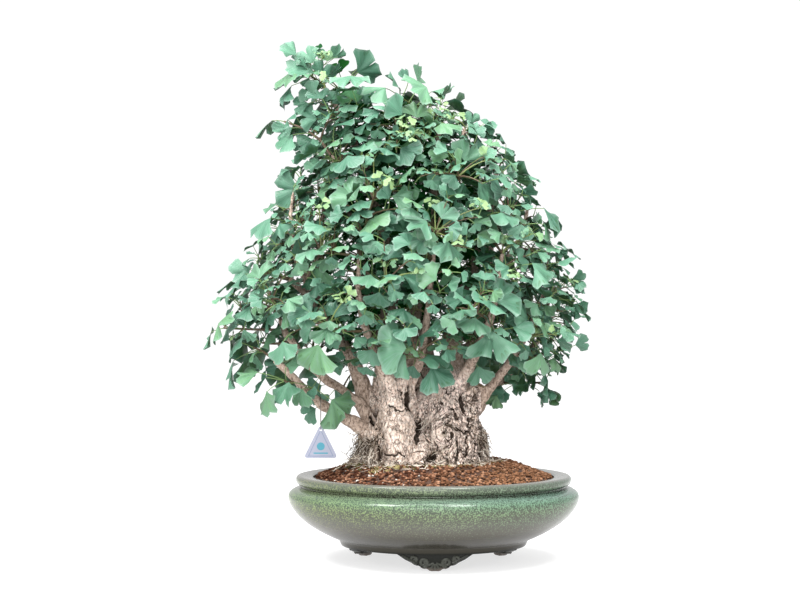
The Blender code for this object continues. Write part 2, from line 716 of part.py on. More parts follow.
def make_spray(spray):
    """A leafy shoot as one solid: its stem with every leaf's petiole sunk into it."""
    points = [(*(point / MM), radius) for point, radius in zip(spray["path"], STEM_RADII)]
    stem = tube(spray["name"], points, 4)
    blades = []
    for leaf in spray["leaves"]:
        blades.append(mesh_helper("blade", leaf_mesh(leaf, LEAF_THICKNESS)))
    apply_boolean(stem, blades, "UNION")
    return finish_node(stem, LEAF, smooth_deg=30)


def make_crown(solids):
    """Finds every spray's stem, then places the leaves turn by turn, and joins each spray."""
    obstacles = Obstacles(solids)
    samples = stem_samples()
    wanted = [(mm(*tip), count) for tip, count in OUTLYING_SPRAYS]
    wanted += [(tip, FRONT_LEAVES if tip.y < FRONT_LIMIT * MM else BACK_LEAVES) for tip in crown_tips()]
    sprays = []
    for tip, count in wanted:
        path = find_stem(tip, samples, obstacles)
        if path is None:
            continue
        name = f"leaf_spray_{len(sprays) + 1:02d}"
        obstacles.add(name, *tube_polygons(path, STEM_CLEARANCE * MM))
        sprays.append({"name": name, "path": path, "count": count, "leaves": [], "blades": []})
    for place in range(max(spray["count"] for spray in sprays)):
        for number, spray in enumerate(sprays):
            if place >= spray["count"]:
                continue
            rng = random.Random(f"{SEED} {number} {place}")
            share = TOP_LEAF - LEAFY_LENGTH * place / spray["count"]
            size = rng.choice(LEAF_SIZES) * MM
            leaf = place_leaf(rng, spray, share, GOLDEN_ANGLE * (place + number), size, obstacles)
            if leaf:
                spray["leaves"].append(leaf)
    for spray in sprays:
        make_spray(spray)


def centre_on_base(solids):
    """Moves the solids so that the origin is on the floor under the middle of their whole box."""
    corners = [vert.co for solid in solids for vert in solid.data.vertices]
    middle = Vector((
        (min(corner.x for corner in corners) + max(corner.x for corner in corners)) / 2,
        (min(corner.y for corner in corners) + max(corner.y for corner in corners)) / 2,
        min(corner.z for corner in corners),
    ))
    for solid in solids:
        solid.data.transform(Matrix.Translation(-middle))


pot = make_pot()
soil = make_soil()
trunk = make_trunk()
tag_wire, tag_eye = make_tag_wire()
tag_plate = make_tag(tag_eye + mm(0, 0, -TAG_EYE_RADIUS + WIRE_RADIUS + GAP))
make_crown([pot, soil, trunk, tag_wire, tag_plate])
centre_on_base(list(BONSAI.objects))
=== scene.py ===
import math
import random

import bmesh
import bpy
import numpy
from mathutils import Matrix, Vector, noise
from mathutils.bvhtree import BVHTree


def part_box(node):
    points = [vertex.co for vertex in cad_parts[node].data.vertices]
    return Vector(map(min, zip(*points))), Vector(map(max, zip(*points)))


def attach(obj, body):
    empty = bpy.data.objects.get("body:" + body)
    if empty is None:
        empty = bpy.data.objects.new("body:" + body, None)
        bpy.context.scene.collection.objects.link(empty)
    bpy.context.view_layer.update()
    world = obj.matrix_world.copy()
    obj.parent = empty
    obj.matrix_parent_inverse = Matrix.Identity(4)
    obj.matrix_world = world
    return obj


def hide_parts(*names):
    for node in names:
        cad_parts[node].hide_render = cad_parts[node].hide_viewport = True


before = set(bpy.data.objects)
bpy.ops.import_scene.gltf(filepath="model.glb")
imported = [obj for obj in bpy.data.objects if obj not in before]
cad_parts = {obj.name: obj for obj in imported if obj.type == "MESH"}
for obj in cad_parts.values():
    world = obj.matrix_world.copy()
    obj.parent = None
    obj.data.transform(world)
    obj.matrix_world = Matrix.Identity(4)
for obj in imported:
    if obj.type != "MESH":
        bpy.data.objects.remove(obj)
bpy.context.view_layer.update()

bpy.ops.object.select_all(action="DESELECT")

# The studio: a wide pale floor under a plain white sky, with soft boxes high on the left and right of
# the camera, above the tree and low in front, and the camera at the height of the trunk. Lengths here
# are in metres from the pot's axis, which stands a little right of the origin.
MM = 0.001
pot_low, pot_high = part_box("pot")
AXIS = Vector(((pot_low.x + pot_high.x) / 2, (pot_low.y + pot_high.y) / 2, 0))
CAMERA_PLACE = (-0.0452, -2.70, 0.344)
CAMERA_LENS = 90.0
FLOOR_RADIUS = 60.0
FLOOR_GREY = 0.36
FLOOR_GLOW = 0.70             # the floor's own light, which keeps the tree's shadow faint
SKY_STRENGTH = 1.04
LIT_HEIGHT = 0.3              # where the soft boxes point, up the pot's axis
SOFT_BOXES = [                # name, degrees to the right of the camera and up, distance, side, watts
    ("left_softbox", -50, 50, 3.0, 1.0, 126), ("right_softbox", 28, 54, 3.0, 0.9, 100),
    ("top_softbox", 0, 84, 2.4, 1.4, 62), ("front_softbox", -8, 14, 3.4, 2.0, 74),
]


def shader_of(material):
    return material.node_tree.nodes["Principled BSDF"]


def new_material(name, colour, roughness, specular=0.5):
    made = bpy.data.materials.new(name)
    made.use_nodes = True
    shader_of(made).inputs["Base Color"].default_value = (*colour, 1.0)
    shader_of(made).inputs["Roughness"].default_value = roughness
    shader_of(made).inputs["Specular IOR Level"].default_value = specular
    return made


scene = bpy.context.scene
scene.view_settings.view_transform = "Standard"
camera_data = bpy.data.cameras.new("photo_camera")
camera_data.lens = CAMERA_LENS
camera_data.sensor_width = 36.0
camera = bpy.data.objects.new("photo_camera", camera_data)
scene.collection.objects.link(camera)
camera.location = AXIS + Vector(CAMERA_PLACE)
camera.rotation_euler = (math.pi / 2, 0, 0)
scene.camera = camera

bpy.ops.mesh.primitive_circle_add(vertices=96, radius=FLOOR_RADIUS, fill_type="NGON")
floor = bpy.context.object
floor.name = "studio_floor"
paper = new_material("white_paper", (FLOOR_GREY, FLOOR_GREY, FLOOR_GREY), 0.95, specular=0.0)
shader_of(paper).inputs["Emission Color"].default_value = (1.0, 1.0, 1.0, 1.0)
shader_of(paper).inputs["Emission Strength"].default_value = FLOOR_GLOW
floor.data.materials.append(paper)

world = bpy.data.worlds.new("soft_white")
world.use_nodes = True
world.node_tree.nodes["Background"].inputs["Color"].default_value = (1.0, 1.0, 1.0, 1.0)
world.node_tree.nodes["Background"].inputs["Strength"].default_value = SKY_STRENGTH
scene.world = world


def soft_light(name, azimuth, elevation, distance, size, power):
    """A square soft box, turned towards the middle of the tree."""
    data = bpy.data.lights.new(name, "AREA")
    data.shape = "SQUARE"
    data.size = size
    data.energy = power
    lamp = bpy.data.objects.new(name, data)
    scene.collection.objects.link(lamp)
    around, above = math.radians(azimuth), math.radians(elevation)
    target = AXIS + Vector((0, 0, LIT_HEIGHT))
    way = Vector((math.sin(around) * math.cos(above), -math.cos(around) * math.cos(above), math.sin(above)))
    lamp.location = target + way * distance
    lamp.rotation_euler = (-way).to_track_quat("-Z", "Y").to_euler()


for soft_box in SOFT_BOXES:
    soft_light(*soft_box)


def finish_piece(piece, slot, *nodes):
    """Puts a piece modelled round the pot's axis in its place, on the body, for the nodes it stands for."""
    piece.data.transform(Matrix.Translation(AXIS))
    piece.matrix_world = Matrix.Identity(4)
    piece.select_set(False)
    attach(piece, "root")
    if nodes:
        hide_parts(*nodes)
    return piece


def link_nodes(material, pairs):
    for source, target in pairs:
        material.node_tree.links.new(source, target)


# The pot: one thrown and glazed stoneware bowl with a flat inturned lip, a groove under it, a round
# belly and a low foot ring. Its sides are raised ring by ring, out, up and back in over the lip.
# The glaze broke into green specks over grey-brown, thickest and most blue-green on the shoulder.
POT_PROFILE = [
    (12, 28), (60, 28), (100, 27.6), (109, 27), (111.4, 24), (113, 22.3), (115, 22), (122, 22), (124.4, 22.5),
    (125.6, 24.5), (126.4, 27), (127.8, 29.3), (130.5, 31.2), (140, 35.2), (152, 41), (163.5, 47.7),
    (174, 55), (182.5, 62.8), (188.6, 70), (193, 77), (195.4, 83), (196, 88), (194.9, 92), (192, 95.2),
    (188, 97.6), (183.6, 99.2), (180, 100.4), (178.4, 101.4), (178.3, 102.3), (179.6, 103.3),
    (182.4, 104.3), (184.4, 106), (185.3, 108.6), (185.5, 111.2), (184.8, 113.6), (183, 115.4),
    (180.4, 116), (176, 115.8), (168, 115.1), (164.4, 114.7), (162.4, 113.6), (161.7, 111.5),
    (161.5, 104.5), (172, 96.5), (180, 90.5), (182.6, 87), (181, 81), (174, 71), (150, 57), (118, 41),
    (60, 39), (12, 38),
]
POT_SIDES = 128
FOOT_FACE = 114.0
FOOT_HALF_OUTLINE = [
    (0, 0.2), (4.5, 0.0), (7.6, 0.9), (9.4, 3.2), (12.2, 3.0), (15.6, 3.4), (18.4, 4.8), (20.0, 7.4),
    (23.4, 7.2), (27.0, 8.4), (30.4, 11.0), (34.6, 13.0), (39.0, 15.2), (44.0, 18.6), (49.0, 22.0), (50, 30),
]
FOOT_THICKNESS = 13.0
FOOT_ROUNDING = 2.2
FOOT_COUNT = 3
FOOT_CURLS = [((15.0, 11.4), 6.0, 1.5, 2.6), ((28.0, 16.0), 4.8, 1.4, 2.3)]   # middle, radius, turns, width
# The edge's last number is how bare its glaze is and how much painted light it carries.
FOOT_EDGE = ((47.0, 23.4), 27.5, 2.6, 28, 0.4)       # inner end, length, width, slope in degrees, bareness
FOOT_RIBS = (-158, -124, -90, -56, -22)              # the fan between the curls, in degrees
RIB_MIDDLE, RIB_LENGTH, RIB_WIDTH = (0, 11.5), 9.5, 2.0
CURL_STEPS = 22
CURL_TIGHTNESS, CURL_TAPER = 0.82, 0.35              # how far a curl winds in, and how much it thins

bpy.ops.mesh.primitive_circle_add(vertices=POT_SIDES, radius=POT_PROFILE[0][0] * MM,
                                  location=(0, 0, POT_PROFILE[0][1] * MM))
pot = bpy.context.object
pot.name = "glazed_pot"
bpy.ops.object.transform_apply(location=True, rotation=False, scale=False)
bpy.ops.object.mode_set(mode="EDIT")
for (radius, height), (wider, higher) in zip(POT_PROFILE, POT_PROFILE[1:] + POT_PROFILE[:1]):
    bpy.ops.mesh.extrude_region_move(TRANSFORM_OT_translate={"value": (0, 0, (higher - height) * MM)})
    if wider != radius:
        bpy.ops.transform.resize(value=(wider / radius, wider / radius, 1),
                                 center_override=(0, 0, higher * MM))
bpy.ops.mesh.select_all(action="SELECT")
bpy.ops.mesh.remove_doubles(threshold=0.00001)
bpy.ops.mesh.normals_make_consistent(inside=False)
bpy.ops.object.mode_set(mode="OBJECT")


def make_active(piece, *others):
    """Selects a piece, and others with it, and nothing else."""
    bpy.ops.object.select_all(action="DESELECT")
    for thing in (piece, *others):
        thing.select_set(True)
    bpy.context.view_layer.objects.active = piece


def mirrored(half):
    return [(-across, height) for across, height in reversed(half) if across > 0] + half


def upright_plate(name, outline, thickness, bevel):
    """A plate cut to an outline of (across, height), its front face on the plane y = 0, edges rounded."""
    bpy.ops.mesh.primitive_circle_add(vertices=len(outline), radius=0.01, fill_type="NGON")
    plate = bpy.context.object
    plate.name = name
    for vertex, (across, height) in zip(plate.data.vertices, outline):
        vertex.co = (across * MM, 0, height * MM)
    bpy.ops.object.mode_set(mode="EDIT")
    bpy.ops.mesh.select_all(action="SELECT")
    bpy.ops.mesh.extrude_region_move(TRANSFORM_OT_translate={"value": (0, thickness * MM, 0)})
    bpy.ops.mesh.select_all(action="SELECT")
    bpy.ops.mesh.normals_make_consistent(inside=False)
    bpy.ops.object.mode_set(mode="OBJECT")
    rounding = plate.modifiers.new("rounding", "BEVEL")
    rounding.width = bevel * MM
    rounding.segments = 3
    rounding.limit_method = "ANGLE"
    rounding.angle_limit = math.radians(50)
    bpy.ops.object.modifier_apply(modifier="rounding")
    return plate


def mark_points(mesh, name, values, kind="FLOAT"):
    """Keeps a number or a colour for each vertex, which the material reads."""
    layer = mesh.attributes.new(name, kind, "POINT")
    field = "color" if kind == "FLOAT_COLOR" else "value"
    layer.data.foreach_set(field, numpy.array(values, dtype=numpy.float32).ravel())


def scroll(name, centre, first_radius, turns, clockwise, width, start=-90, bare_and_lit=1.0):
    """A raised curl of clay on a foot: a tapering roll wound in towards its middle, or a straight rib.

    The glaze runs off what stands proud, and the raised rolls also get painted light, so each roll is marked
    with how bare and how lit it is."""
    curve = bpy.data.curves.new(name, "CURVE")
    curve.dimensions = "3D"
    curve.bevel_depth = width * MM
    curve.bevel_resolution = 2
    curve.use_fill_caps = True
    spline = curve.splines.new("POLY")
    spline.points.add(CURL_STEPS)
    for step, point in enumerate(spline.points):
        share = step / CURL_STEPS
        radius = first_radius * (1 - CURL_TIGHTNESS * share)
        angle = math.radians(start) + math.tau * turns * share * (-1 if clockwise else 1)
        point.co = ((centre[0] + radius * math.cos(angle)) * MM, 0,
                    (centre[1] + radius * math.sin(angle)) * MM, 1)
        point.radius = 1 - CURL_TAPER * share
    made = bpy.data.objects.new(name, curve)
    scene.collection.objects.link(made)
    make_active(made)
    bpy.ops.object.convert(target="MESH")
    made = bpy.context.object
    mark_points(made.data, "thin_glaze_lit_curl", [bare_and_lit] * len(made.data.vertices))
    return made


foot_parts = []
foot_parts.append(upright_plate("foot_body", mirrored(FOOT_HALF_OUTLINE), FOOT_THICKNESS, FOOT_ROUNDING))
for side in (1, -1):
    for (across, height), radius, turns, width in FOOT_CURLS:
        foot_parts.append(scroll("foot_curl", (side * across, height), radius, turns, side > 0, width))
    (across, height), length, width, slope, bare_and_lit = FOOT_EDGE
    start = 180 + slope if side > 0 else -slope
    foot_parts.append(scroll("foot_edge", (side * across, height), length, 0, False, width, start, bare_and_lit))
for start in FOOT_RIBS:
    foot_parts.append(scroll("foot_rib", RIB_MIDDLE, RIB_LENGTH, 0, False, RIB_WIDTH, start))
foot = foot_parts[0]
make_active(*foot_parts)
bpy.ops.object.join()
foot_copies = []
for place in range(FOOT_COUNT):
    copy = foot.copy()
    copy.data = foot.data.copy()
    scene.collection.objects.link(copy)
    turn = Matrix.Rotation(math.tau * place / FOOT_COUNT, 4, "Z")
    copy.data.transform(turn @ Matrix.Translation((0, -FOOT_FACE * MM, 0)))
    foot_copies.append(copy)
bpy.data.objects.remove(foot)
make_active(pot, *foot_copies)
bpy.ops.object.join()
bpy.ops.object.shade_smooth_by_angle(angle=math.radians(38))

GLAZE_TOP = 0.12              # the height in metres that the glaze's bands are told by
glaze = new_material("speckled_green_glaze", (0.2, 0.25, 0.17), 0.22, specular=0.16)
shader_of(glaze).inputs["Coat Weight"].default_value = 0.10
shader_of(glaze).inputs["Coat Roughness"].default_value = 0.12


def place_in(material):
    """The material's Object coordinates, whole and as X, Y and Z."""
    whole = material.node_tree.nodes.new("ShaderNodeTexCoord").outputs["Object"]
    return whole, axes_of(material, whole)


def axes_of(material, vector):
    parts = material.node_tree.nodes.new("ShaderNodeSeparateXYZ")
    material.node_tree.links.new(vector, parts.inputs["Vector"])
    return [parts.outputs[axis] for axis in "XYZ"]


def mark_of(material, name, output="Fac"):
    """What the vertices are marked with under a name."""
    node = material.node_tree.nodes.new("ShaderNodeAttribute")
    node.attribute_name = name
    return node.outputs[output]


def ramp(material, fac, stops, interpolation="LINEAR"):
    """A colour ramp read from a socket; the stops are (position, linear colour)."""
    node = material.node_tree.nodes.new("ShaderNodeValToRGB")
    node.color_ramp.interpolation = interpolation
    elements = node.color_ramp.elements
    while len(elements) < len(stops):
        elements.new(0.5)
    for element, (position, colour) in zip(elements, stops):
        element.position = position
        element.color = (*colour, 1) if len(colour) == 3 else colour
    material.node_tree.links.new(fac, node.inputs["Fac"])
    return node.outputs["Color"]


def fade(material, fac, start, end, low=0.0, high=1.0):
    """A share that goes from low to high while a socket's value goes from start to end."""
    return ramp(material, fac, [(start, (low, low, low)), (end, (high, high, high))])


def maths(material, operation, first, second, clamp=False):
    node = material.node_tree.nodes.new("ShaderNodeMath")
    node.operation = operation
    node.use_clamp = clamp
    for socket, value in zip(node.inputs, (first, second)):
        if isinstance(value, (int, float)):
            socket.default_value = value
        else:
            material.node_tree.links.new(value, socket)
    return node.outputs["Value"]


def times(material, first, second, clamp=False):
    return maths(material, "MULTIPLY", first, second, clamp)


def plus(material, first, second, clamp=False):
    return maths(material, "ADD", first, second, clamp)


def minus(material, first, second, clamp=False):
    return maths(material, "SUBTRACT", first, second, clamp)


def mixed(material, fac, first, second, blend="MIX"):
    node = material.node_tree.nodes.new("ShaderNodeMix")
    node.data_type = "RGBA"
    node.blend_type = blend
    for socket, value in ((node.inputs[0], fac), (node.inputs[6], first), (node.inputs[7], second)):
        if isinstance(value, tuple):
            socket.default_value = (*value, 1)
        elif isinstance(value, (int, float)):
            socket.default_value = value
        else:
            material.node_tree.links.new(value, socket)
    return node.outputs[2]


def noise_of(material, vector, scale, detail=2.0, roughness=0.5):
    node = material.node_tree.nodes.new("ShaderNodeTexNoise")
    node.inputs["Scale"].default_value = scale
    node.inputs["Detail"].default_value = detail
    node.inputs["Roughness"].default_value = roughness
    material.node_tree.links.new(vector, node.inputs["Vector"])
    return node.outputs["Fac"]


def add_bump(material, height, distance, strength=1.0):
    node = material.node_tree.nodes.new("ShaderNodeBump")
    node.inputs["Distance"].default_value = distance
    node.inputs["Strength"].default_value = strength
    material.node_tree.links.new(height, node.inputs["Height"])
    material.node_tree.links.new(node.outputs["Normal"], shader_of(material).inputs["Normal"])


def paint(material, colour):
    material.node_tree.links.new(colour, shader_of(material).inputs["Base Color"])


def coat_with(piece, material):
    """Gives a piece one material in place of any it has."""
    piece.data.materials.clear()
    piece.data.materials.append(material)


here, (aside, _, height) = place_in(glaze)
level = times(glaze, height, 1 / GLAZE_TOP)
wandering = plus(glaze, level, times(glaze, minus(glaze, noise_of(glaze, here, 22, 3), 0.5), 0.22))
# The ground's colour up the pot is the glaze's own grey-brown, green and pale bands, with painted shade in
# two places. The feet are near black as painted shade under the bowl, with painted light at their lowest
# edge. The groove under the lip is a dark line of painted shade.
ground = ramp(glaze, level, [
    (0.025, (0.105, 0.088, 0.076)), (0.05, (0.009, 0.010, 0.007)), (0.19, (0.006, 0.007, 0.005)),
    (0.215, (0.030, 0.027, 0.020)), (0.24, (0.034, 0.031, 0.023)),
    (0.31, (0.030, 0.027, 0.021)), (0.385, (0.042, 0.038, 0.028)), (0.46, (0.072, 0.068, 0.054)),
    (0.53, (0.082, 0.082, 0.068)), (0.66, (0.066, 0.072, 0.054)), (0.76, (0.038, 0.058, 0.040)),
    (0.81, (0.030, 0.048, 0.034)), (0.846, (0.026, 0.022, 0.018)), (0.870, (0.032, 0.034, 0.026)),
    (0.90, (0.046, 0.058, 0.040)), (0.945, (0.060, 0.072, 0.056)), (0.962, (0.094, 0.092, 0.080)),
])
speck_colour = ramp(glaze, level, [
    (0.30, (0.060, 0.060, 0.040)), (0.46, (0.130, 0.145, 0.100)), (0.56, (0.155, 0.190, 0.115)),
    (0.66, (0.150, 0.205, 0.110)), (0.76, (0.105, 0.165, 0.105)), (0.81, (0.084, 0.125, 0.094)),
    (0.90, (0.135, 0.175, 0.105)), (0.962, (0.105, 0.110, 0.094)),
])
side_tone = ramp(glaze, plus(glaze, times(glaze, aside, 2.0), 0.42), [
    (0.0, (1.16, 1.02, 0.62)), (0.55, (1.0, 1.0, 1.0)), (1.0, (0.80, 1.0, 1.12)),
])
speck_cover = ramp(glaze, wandering, [(place, (cover, cover, cover)) for place, cover in (
    (0.22, 0.0), (0.38, 0.30), (0.54, 0.50), (0.72, 0.66), (0.80, 0.8), (0.9, 0.62), (0.97, 0.5),
)])
least_noise = minus(glaze, 0.72, times(glaze, speck_cover, 0.36))
specks = times(glaze, minus(glaze, noise_of(glaze, here, 560, 2, 0.6), least_noise), 14.0, clamp=True)
toned = mixed(glaze, 1.0, speck_colour, side_tone, "MULTIPLY")
# The feet's curls and ribs are paler where the glaze runs thin, and they also carry painted light against the
# feet's painted shade.
thin_and_lit = times(glaze, mark_of(glaze, "thin_glaze_lit_curl"), plus(glaze, 0.15, noise_of(glaze, here, 260, 2)))
paint(glaze, mixed(glaze, thin_and_lit, mixed(glaze, specks, ground, toned), (0.070, 0.074, 0.062)))
add_bump(glaze, noise_of(glaze, here, 60, 2), 0.0006, 0.25)
coat_with(pot, glaze)
finish_piece(pot, "glaze", "pot")

# The tree's wood: the stump, its stems, branches, stubs and root flares grew as one piece, so the
# packed trunk is copied and given its bark. The stump is corky and deeply cleft, and the stems
# are smoother and greyer. It is remeshed evenly, then worked like clay: lumps, clefts, a burl.
STEMS = {                     # points (x, y, z, radius) along each, in millimetres from the pot's axis
    "core": [(-10, 0, 124, 64), (-10, 0, 165, 58), (-10, 2, 205, 44), (-10, 5, 236, 28)],
    "leader": [
        (-62, 10, 124, 34), (-60, 5, 170, 31), (-62, 0, 212, 24), (-65, 0, 250, 16),
        (-65, -5, 300, 12), (-58, -5, 365, 10.5), (-66, -5, 440, 8.5), (-92, -8, 530, 6.5),
        (-120, -8, 592, 4.6), (-146, -8, 638, 3),
    ],
    "front_stem": [
        (-50, -50, 124, 37), (-50, -50, 165, 33), (-48, -48, 200, 27), (-45, -50, 228, 21),
        (-40, -48, 262, 14), (-30, -40, 315, 11), (-16, -31, 390, 8.6), (-4, -28, 465, 7),
        (2, -27, 530, 5), (8, -24, 594, 3),
    ],
    "right_stem": [
        (18, -42, 124, 43), (20, -40, 165, 38), (22, -32, 205, 32), (22, -22, 240, 25),
        (24, -15, 272, 16), (27, -12, 315, 12), (46, -6, 378, 8.4), (72, -2, 445, 6),
        (86, 0, 526, 3.2),
    ],
    "right_base": [(47, -6, 124, 31), (45, -2, 165, 26), (40, 4, 200, 19)],
    "burl": [(11, -44, 168, 12), (11.5, -52, 170, 18), (12, -64, 176, 18), (12.5, -72, 181, 8)],
    "left_stem": [
        (-82, -12, 124, 27), (-80, -10, 165, 22), (-80, -8, 197, 16), (-98, -14, 242, 11),
        (-110, -16, 276, 9.5), (-145, -20, 318, 8.6), (-157, -20, 357, 8.6), (-166, -20, 396, 9),
    ],
    "left_branch": [
        (-64, -25, 168, 12), (-84, -28, 183, 11), (-98, -30, 212, 8.6), (-116, -30, 227, 7),
        (-142, -30, 244, 6.2), (-169, -28, 267, 6), (-186, -26, 292, 5.7),
        (-198, -25, 306, 5.5), (-205, -25, 326, 5.2),
    ],
    "low_left_branch": [
        (-62, -34, 160, 14), (-90, -42, 177, 11.5), (-114, -48, 191, 8.6), (-132, -52, 203, 7),
        (-150, -55, 214, 6.2), (-167, -57, 230, 5.7), (-184, -58, 247, 5.3),
        (-198, -58, 260, 5.1), (-211, -58, 273, 5),
    ],
    "right_branch": [
        (38, -22, 184, 14), (57, -30, 211, 8.6), (80, -35, 241, 6.4), (103, -38, 271, 6),
        (120, -38, 300, 5), (138, -36, 335, 4.2), (150, -32, 370, 3.2),
    ],
    "low_right_branch": [
        (42, 22, 184, 13), (66, 38, 212, 7.5), (92, 48, 238, 5.6), (125, 55, 272, 4.6),
        (152, 56, 303, 3.6),
    ],
    "right_stub": [(36, -30, 188, 14), (46, -38, 212, 11), (60, -42, 240, 9.6)],
    "back_left_stem": [
        (-45, 48, 124, 36), (-45, 48, 165, 33), (-48, 52, 205, 25), (-58, 62, 245, 15),
        (-72, 78, 290, 11), (-92, 96, 365, 8.2), (-104, 90, 455, 6), (-100, 65, 550, 3.2),
    ],
    "back_right_stem": [
        (25, 45, 124, 38), (26, 45, 165, 34), (30, 50, 205, 25), (40, 62, 245, 15),
        (56, 78, 290, 11), (78, 92, 365, 8), (80, 84, 445, 5.6), (72, 68, 505, 4),
    ],
    "back_stem": [
        (-10, 56, 124, 36), (-10, 60, 170, 31), (-8, 70, 215, 21), (-8, 88, 260, 12),
        (-11, 114, 330, 8), (-10, 112, 410, 5.4), (-8, 98, 470, 3.6),
    ],
    "front_left_branch": [
        (-46, -48, 215, 13), (-62, -78, 248, 8), (-78, -100, 280, 6.5), (-92, -112, 320, 5.5),
        (-100, -110, 365, 4.5), (-98, -98, 408, 3.4),
    ],
    "front_branch": [
        (-34, -42, 240, 11), (-20, -75, 268, 7), (-14, -100, 300, 6), (-8, -112, 345, 5),
        (-4, -108, 392, 4), (2, -94, 436, 3),
    ],
    "front_right_branch": [
        (26, -30, 228, 12), (42, -55, 256, 8), (58, -80, 288, 6.5), (72, -95, 325, 5.5),
        (84, -96, 370, 4.5), (88, -85, 412, 3.4),
    ],
    "left_shoot": [
        (-156, -20, 345, 6), (-170, -20, 374, 5), (-182, -22, 398, 4.6), (-189, -22, 428, 4.2),
        (-192, -20, 465, 3.5), (-188, -18, 498, 2.8),
    ],
    "left_back_shoot": [
        (-148, -16, 322, 6), (-154, 5, 360, 5), (-155, 15, 400, 4.5), (-152, 18, 440, 4),
        (-148, 15, 490, 3.4), (-146, 12, 536, 2.6),
    ],
    "left_stub": [(-150, -20, 340, 6), (-172, -25, 360, 5.5), (-193, -28, 380, 5)],
    "top_fork": [(-5, -28, 455, 6), (12, -30, 500, 4.5), (30, -32, 545, 3.6), (42, -30, 582, 2.6)],
    "right_fork": [
        (36, -8, 350, 7), (68, 0, 380, 5), (98, 5, 405, 4.4), (120, 5, 440, 3.6), (128, 5, 478, 2.8),
    ],
    "left_fork": [
        (-60, -5, 398, 7), (-88, -15, 430, 5), (-112, -25, 465, 4.4), (-128, -30, 505, 3.6),
        (-135, -30, 545, 2.8),
    ],
}
CROWN_OUTLINE = [             # rows of height, left edge, right edge and half depth
    (235, -190, 140, 110), (270, -255, 178, 160), (320, -292, 208, 188), (370, -274, 198, 182),
    (430, -240, 170, 166), (490, -206, 140, 146), (550, -180, 106, 120), (600, -176, 50, 86),
    (640, -182, -25, 56), (690, -178, -118, 26),
]
CUT_ENDS = ("left_stem", "left_branch", "low_left_branch", "left_stub", "right_stub")
STUMP_TOP = 268.0             # where the stump ends and the finer wood starts
STUMP_VOXEL = 1.55
BRANCH_VOXEL = 2.1
JOIN_OVERLAP = 5.0            # how far the branches reach down into the stump's top
STUMP_FOOT = 126.0            # just under the soil
TREE_TOP = 720.0
# Clefts in the stump's front: (x, z) points in millimetres along each, then its width and depth
CLEFTS = [
    ([(-31, 214), (-27, 203), (-23, 196), (-20, 187), (-22, 180)], 2.6, 9.0),
    ([(-14, 262), (-24, 246), (-30, 232), (-32, 214)], 5.2, 11.0),
    ([(-84, 196), (-79, 186), (-74, 176), (-70, 168)], 3.2, 8.0),
    ([(-82, 166), (-76, 158), (-73, 150), (-74, 140)], 2.6, 6.0),
    ([(37, 222), (40, 210), (43, 200)], 2.6, 7.0),
    ([(47, 196), (46, 186), (50, 178)], 1.8, 4.5),
    ([(56, 162), (60, 150), (62, 138)], 2.8, 7.0),
    ([(12, 188), (26, 184), (40, 178), (54, 177)], 1.2, 3.4),
    ([(-66, 150), (-56, 147), (-47, 150), (-38, 147)], 1.3, 3.2),
    ([(-60, 212), (-50, 206), (-40, 205), (-31, 211)], 1.1, 2.6),
    ([(6, 246), (12, 236), (18, 228)], 1.7, 5.0),
    ([(-1, 166), (0, 154), (-4, 142)], 1.3, 4.4),
    ([(2, 158), (-4, 147), (-8, 141)], 3.0, 7.0),
    ([(21, 175.5), (23, 173.5)], 2.2, 5.5),
    ([(30, 168), (31, 154), (30, 140)], 1.2, 3.6),
    ([(42, 172), (45, 158), (44, 142)], 1.4, 3.8),
    ([(-18, 182), (-24, 172), (-23, 164)], 2.2, 4.4),
    ([(-50, 240), (-44, 228), (-40, 216)], 1.2, 3.0),
    ([(20, 212), (28, 202), (30, 194)], 1.0, 2.4),
]
# Wide shallow hollows between the fused trunks, painted dark brown as the shade in them, in the same form
RECESSES = [
    ([(-27, 268), (-20, 252), (-16, 238)], 11.0, 5.0),
    ([(2, 262), (6, 250)], 5.0, 3.0),
    ([(64, 160), (63, 138)], 6.0, 4.0),
    ([(52, 217), (59, 236)], 5.4, 2.6),
    ([(-76, 196), (-72, 176)], 6.0, 3.0),
]
KNOT = (12.5, 177.0)          # the burl's middle, as (x, z)
KNOT_RINGS = [(9, 3, 2.6), (0, 3.0, -8.0), (15.5, 2.4, 1.8), (12.3, 1.3, -2.0)]   # radius, width, rise
BARK_SEED = 4                 # where in the noise the cracks stray to
noise.seed_set(BARK_SEED)


def copy_of(node_name, name):
    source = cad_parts[node_name]
    mesh = source.data.copy()
    made = bpy.data.objects.new(name, mesh)
    scene.collection.objects.link(made)
    mesh.transform(Matrix.Translation(-AXIS))
    make_active(made)
    bpy.ops.object.mode_set(mode="EDIT")
    bpy.ops.mesh.select_all(action="SELECT")
    bpy.ops.mesh.remove_doubles(threshold=0.00001)
    bpy.ops.object.mode_set(mode="OBJECT")
    return made


def keep_between(piece, low, high):
    """Cuts a piece off square below one height and above another, and closes the cuts."""
    make_active(piece)
    for height, up in ((low, False), (high, True)):
        bpy.ops.object.mode_set(mode="EDIT")
        bpy.ops.mesh.select_all(action="SELECT")
        bpy.ops.mesh.bisect(plane_co=(0, 0, height * MM), plane_no=(0, 0, 1), use_fill=True,
                            clear_inner=not up, clear_outer=up)
        bpy.ops.object.mode_set(mode="OBJECT")


def remesh(piece, voxel):
    step = piece.modifiers.new("even", "REMESH")
    step.mode = "VOXEL"
    step.voxel_size = voxel * MM
    bpy.ops.object.modifier_apply(modifier="even")


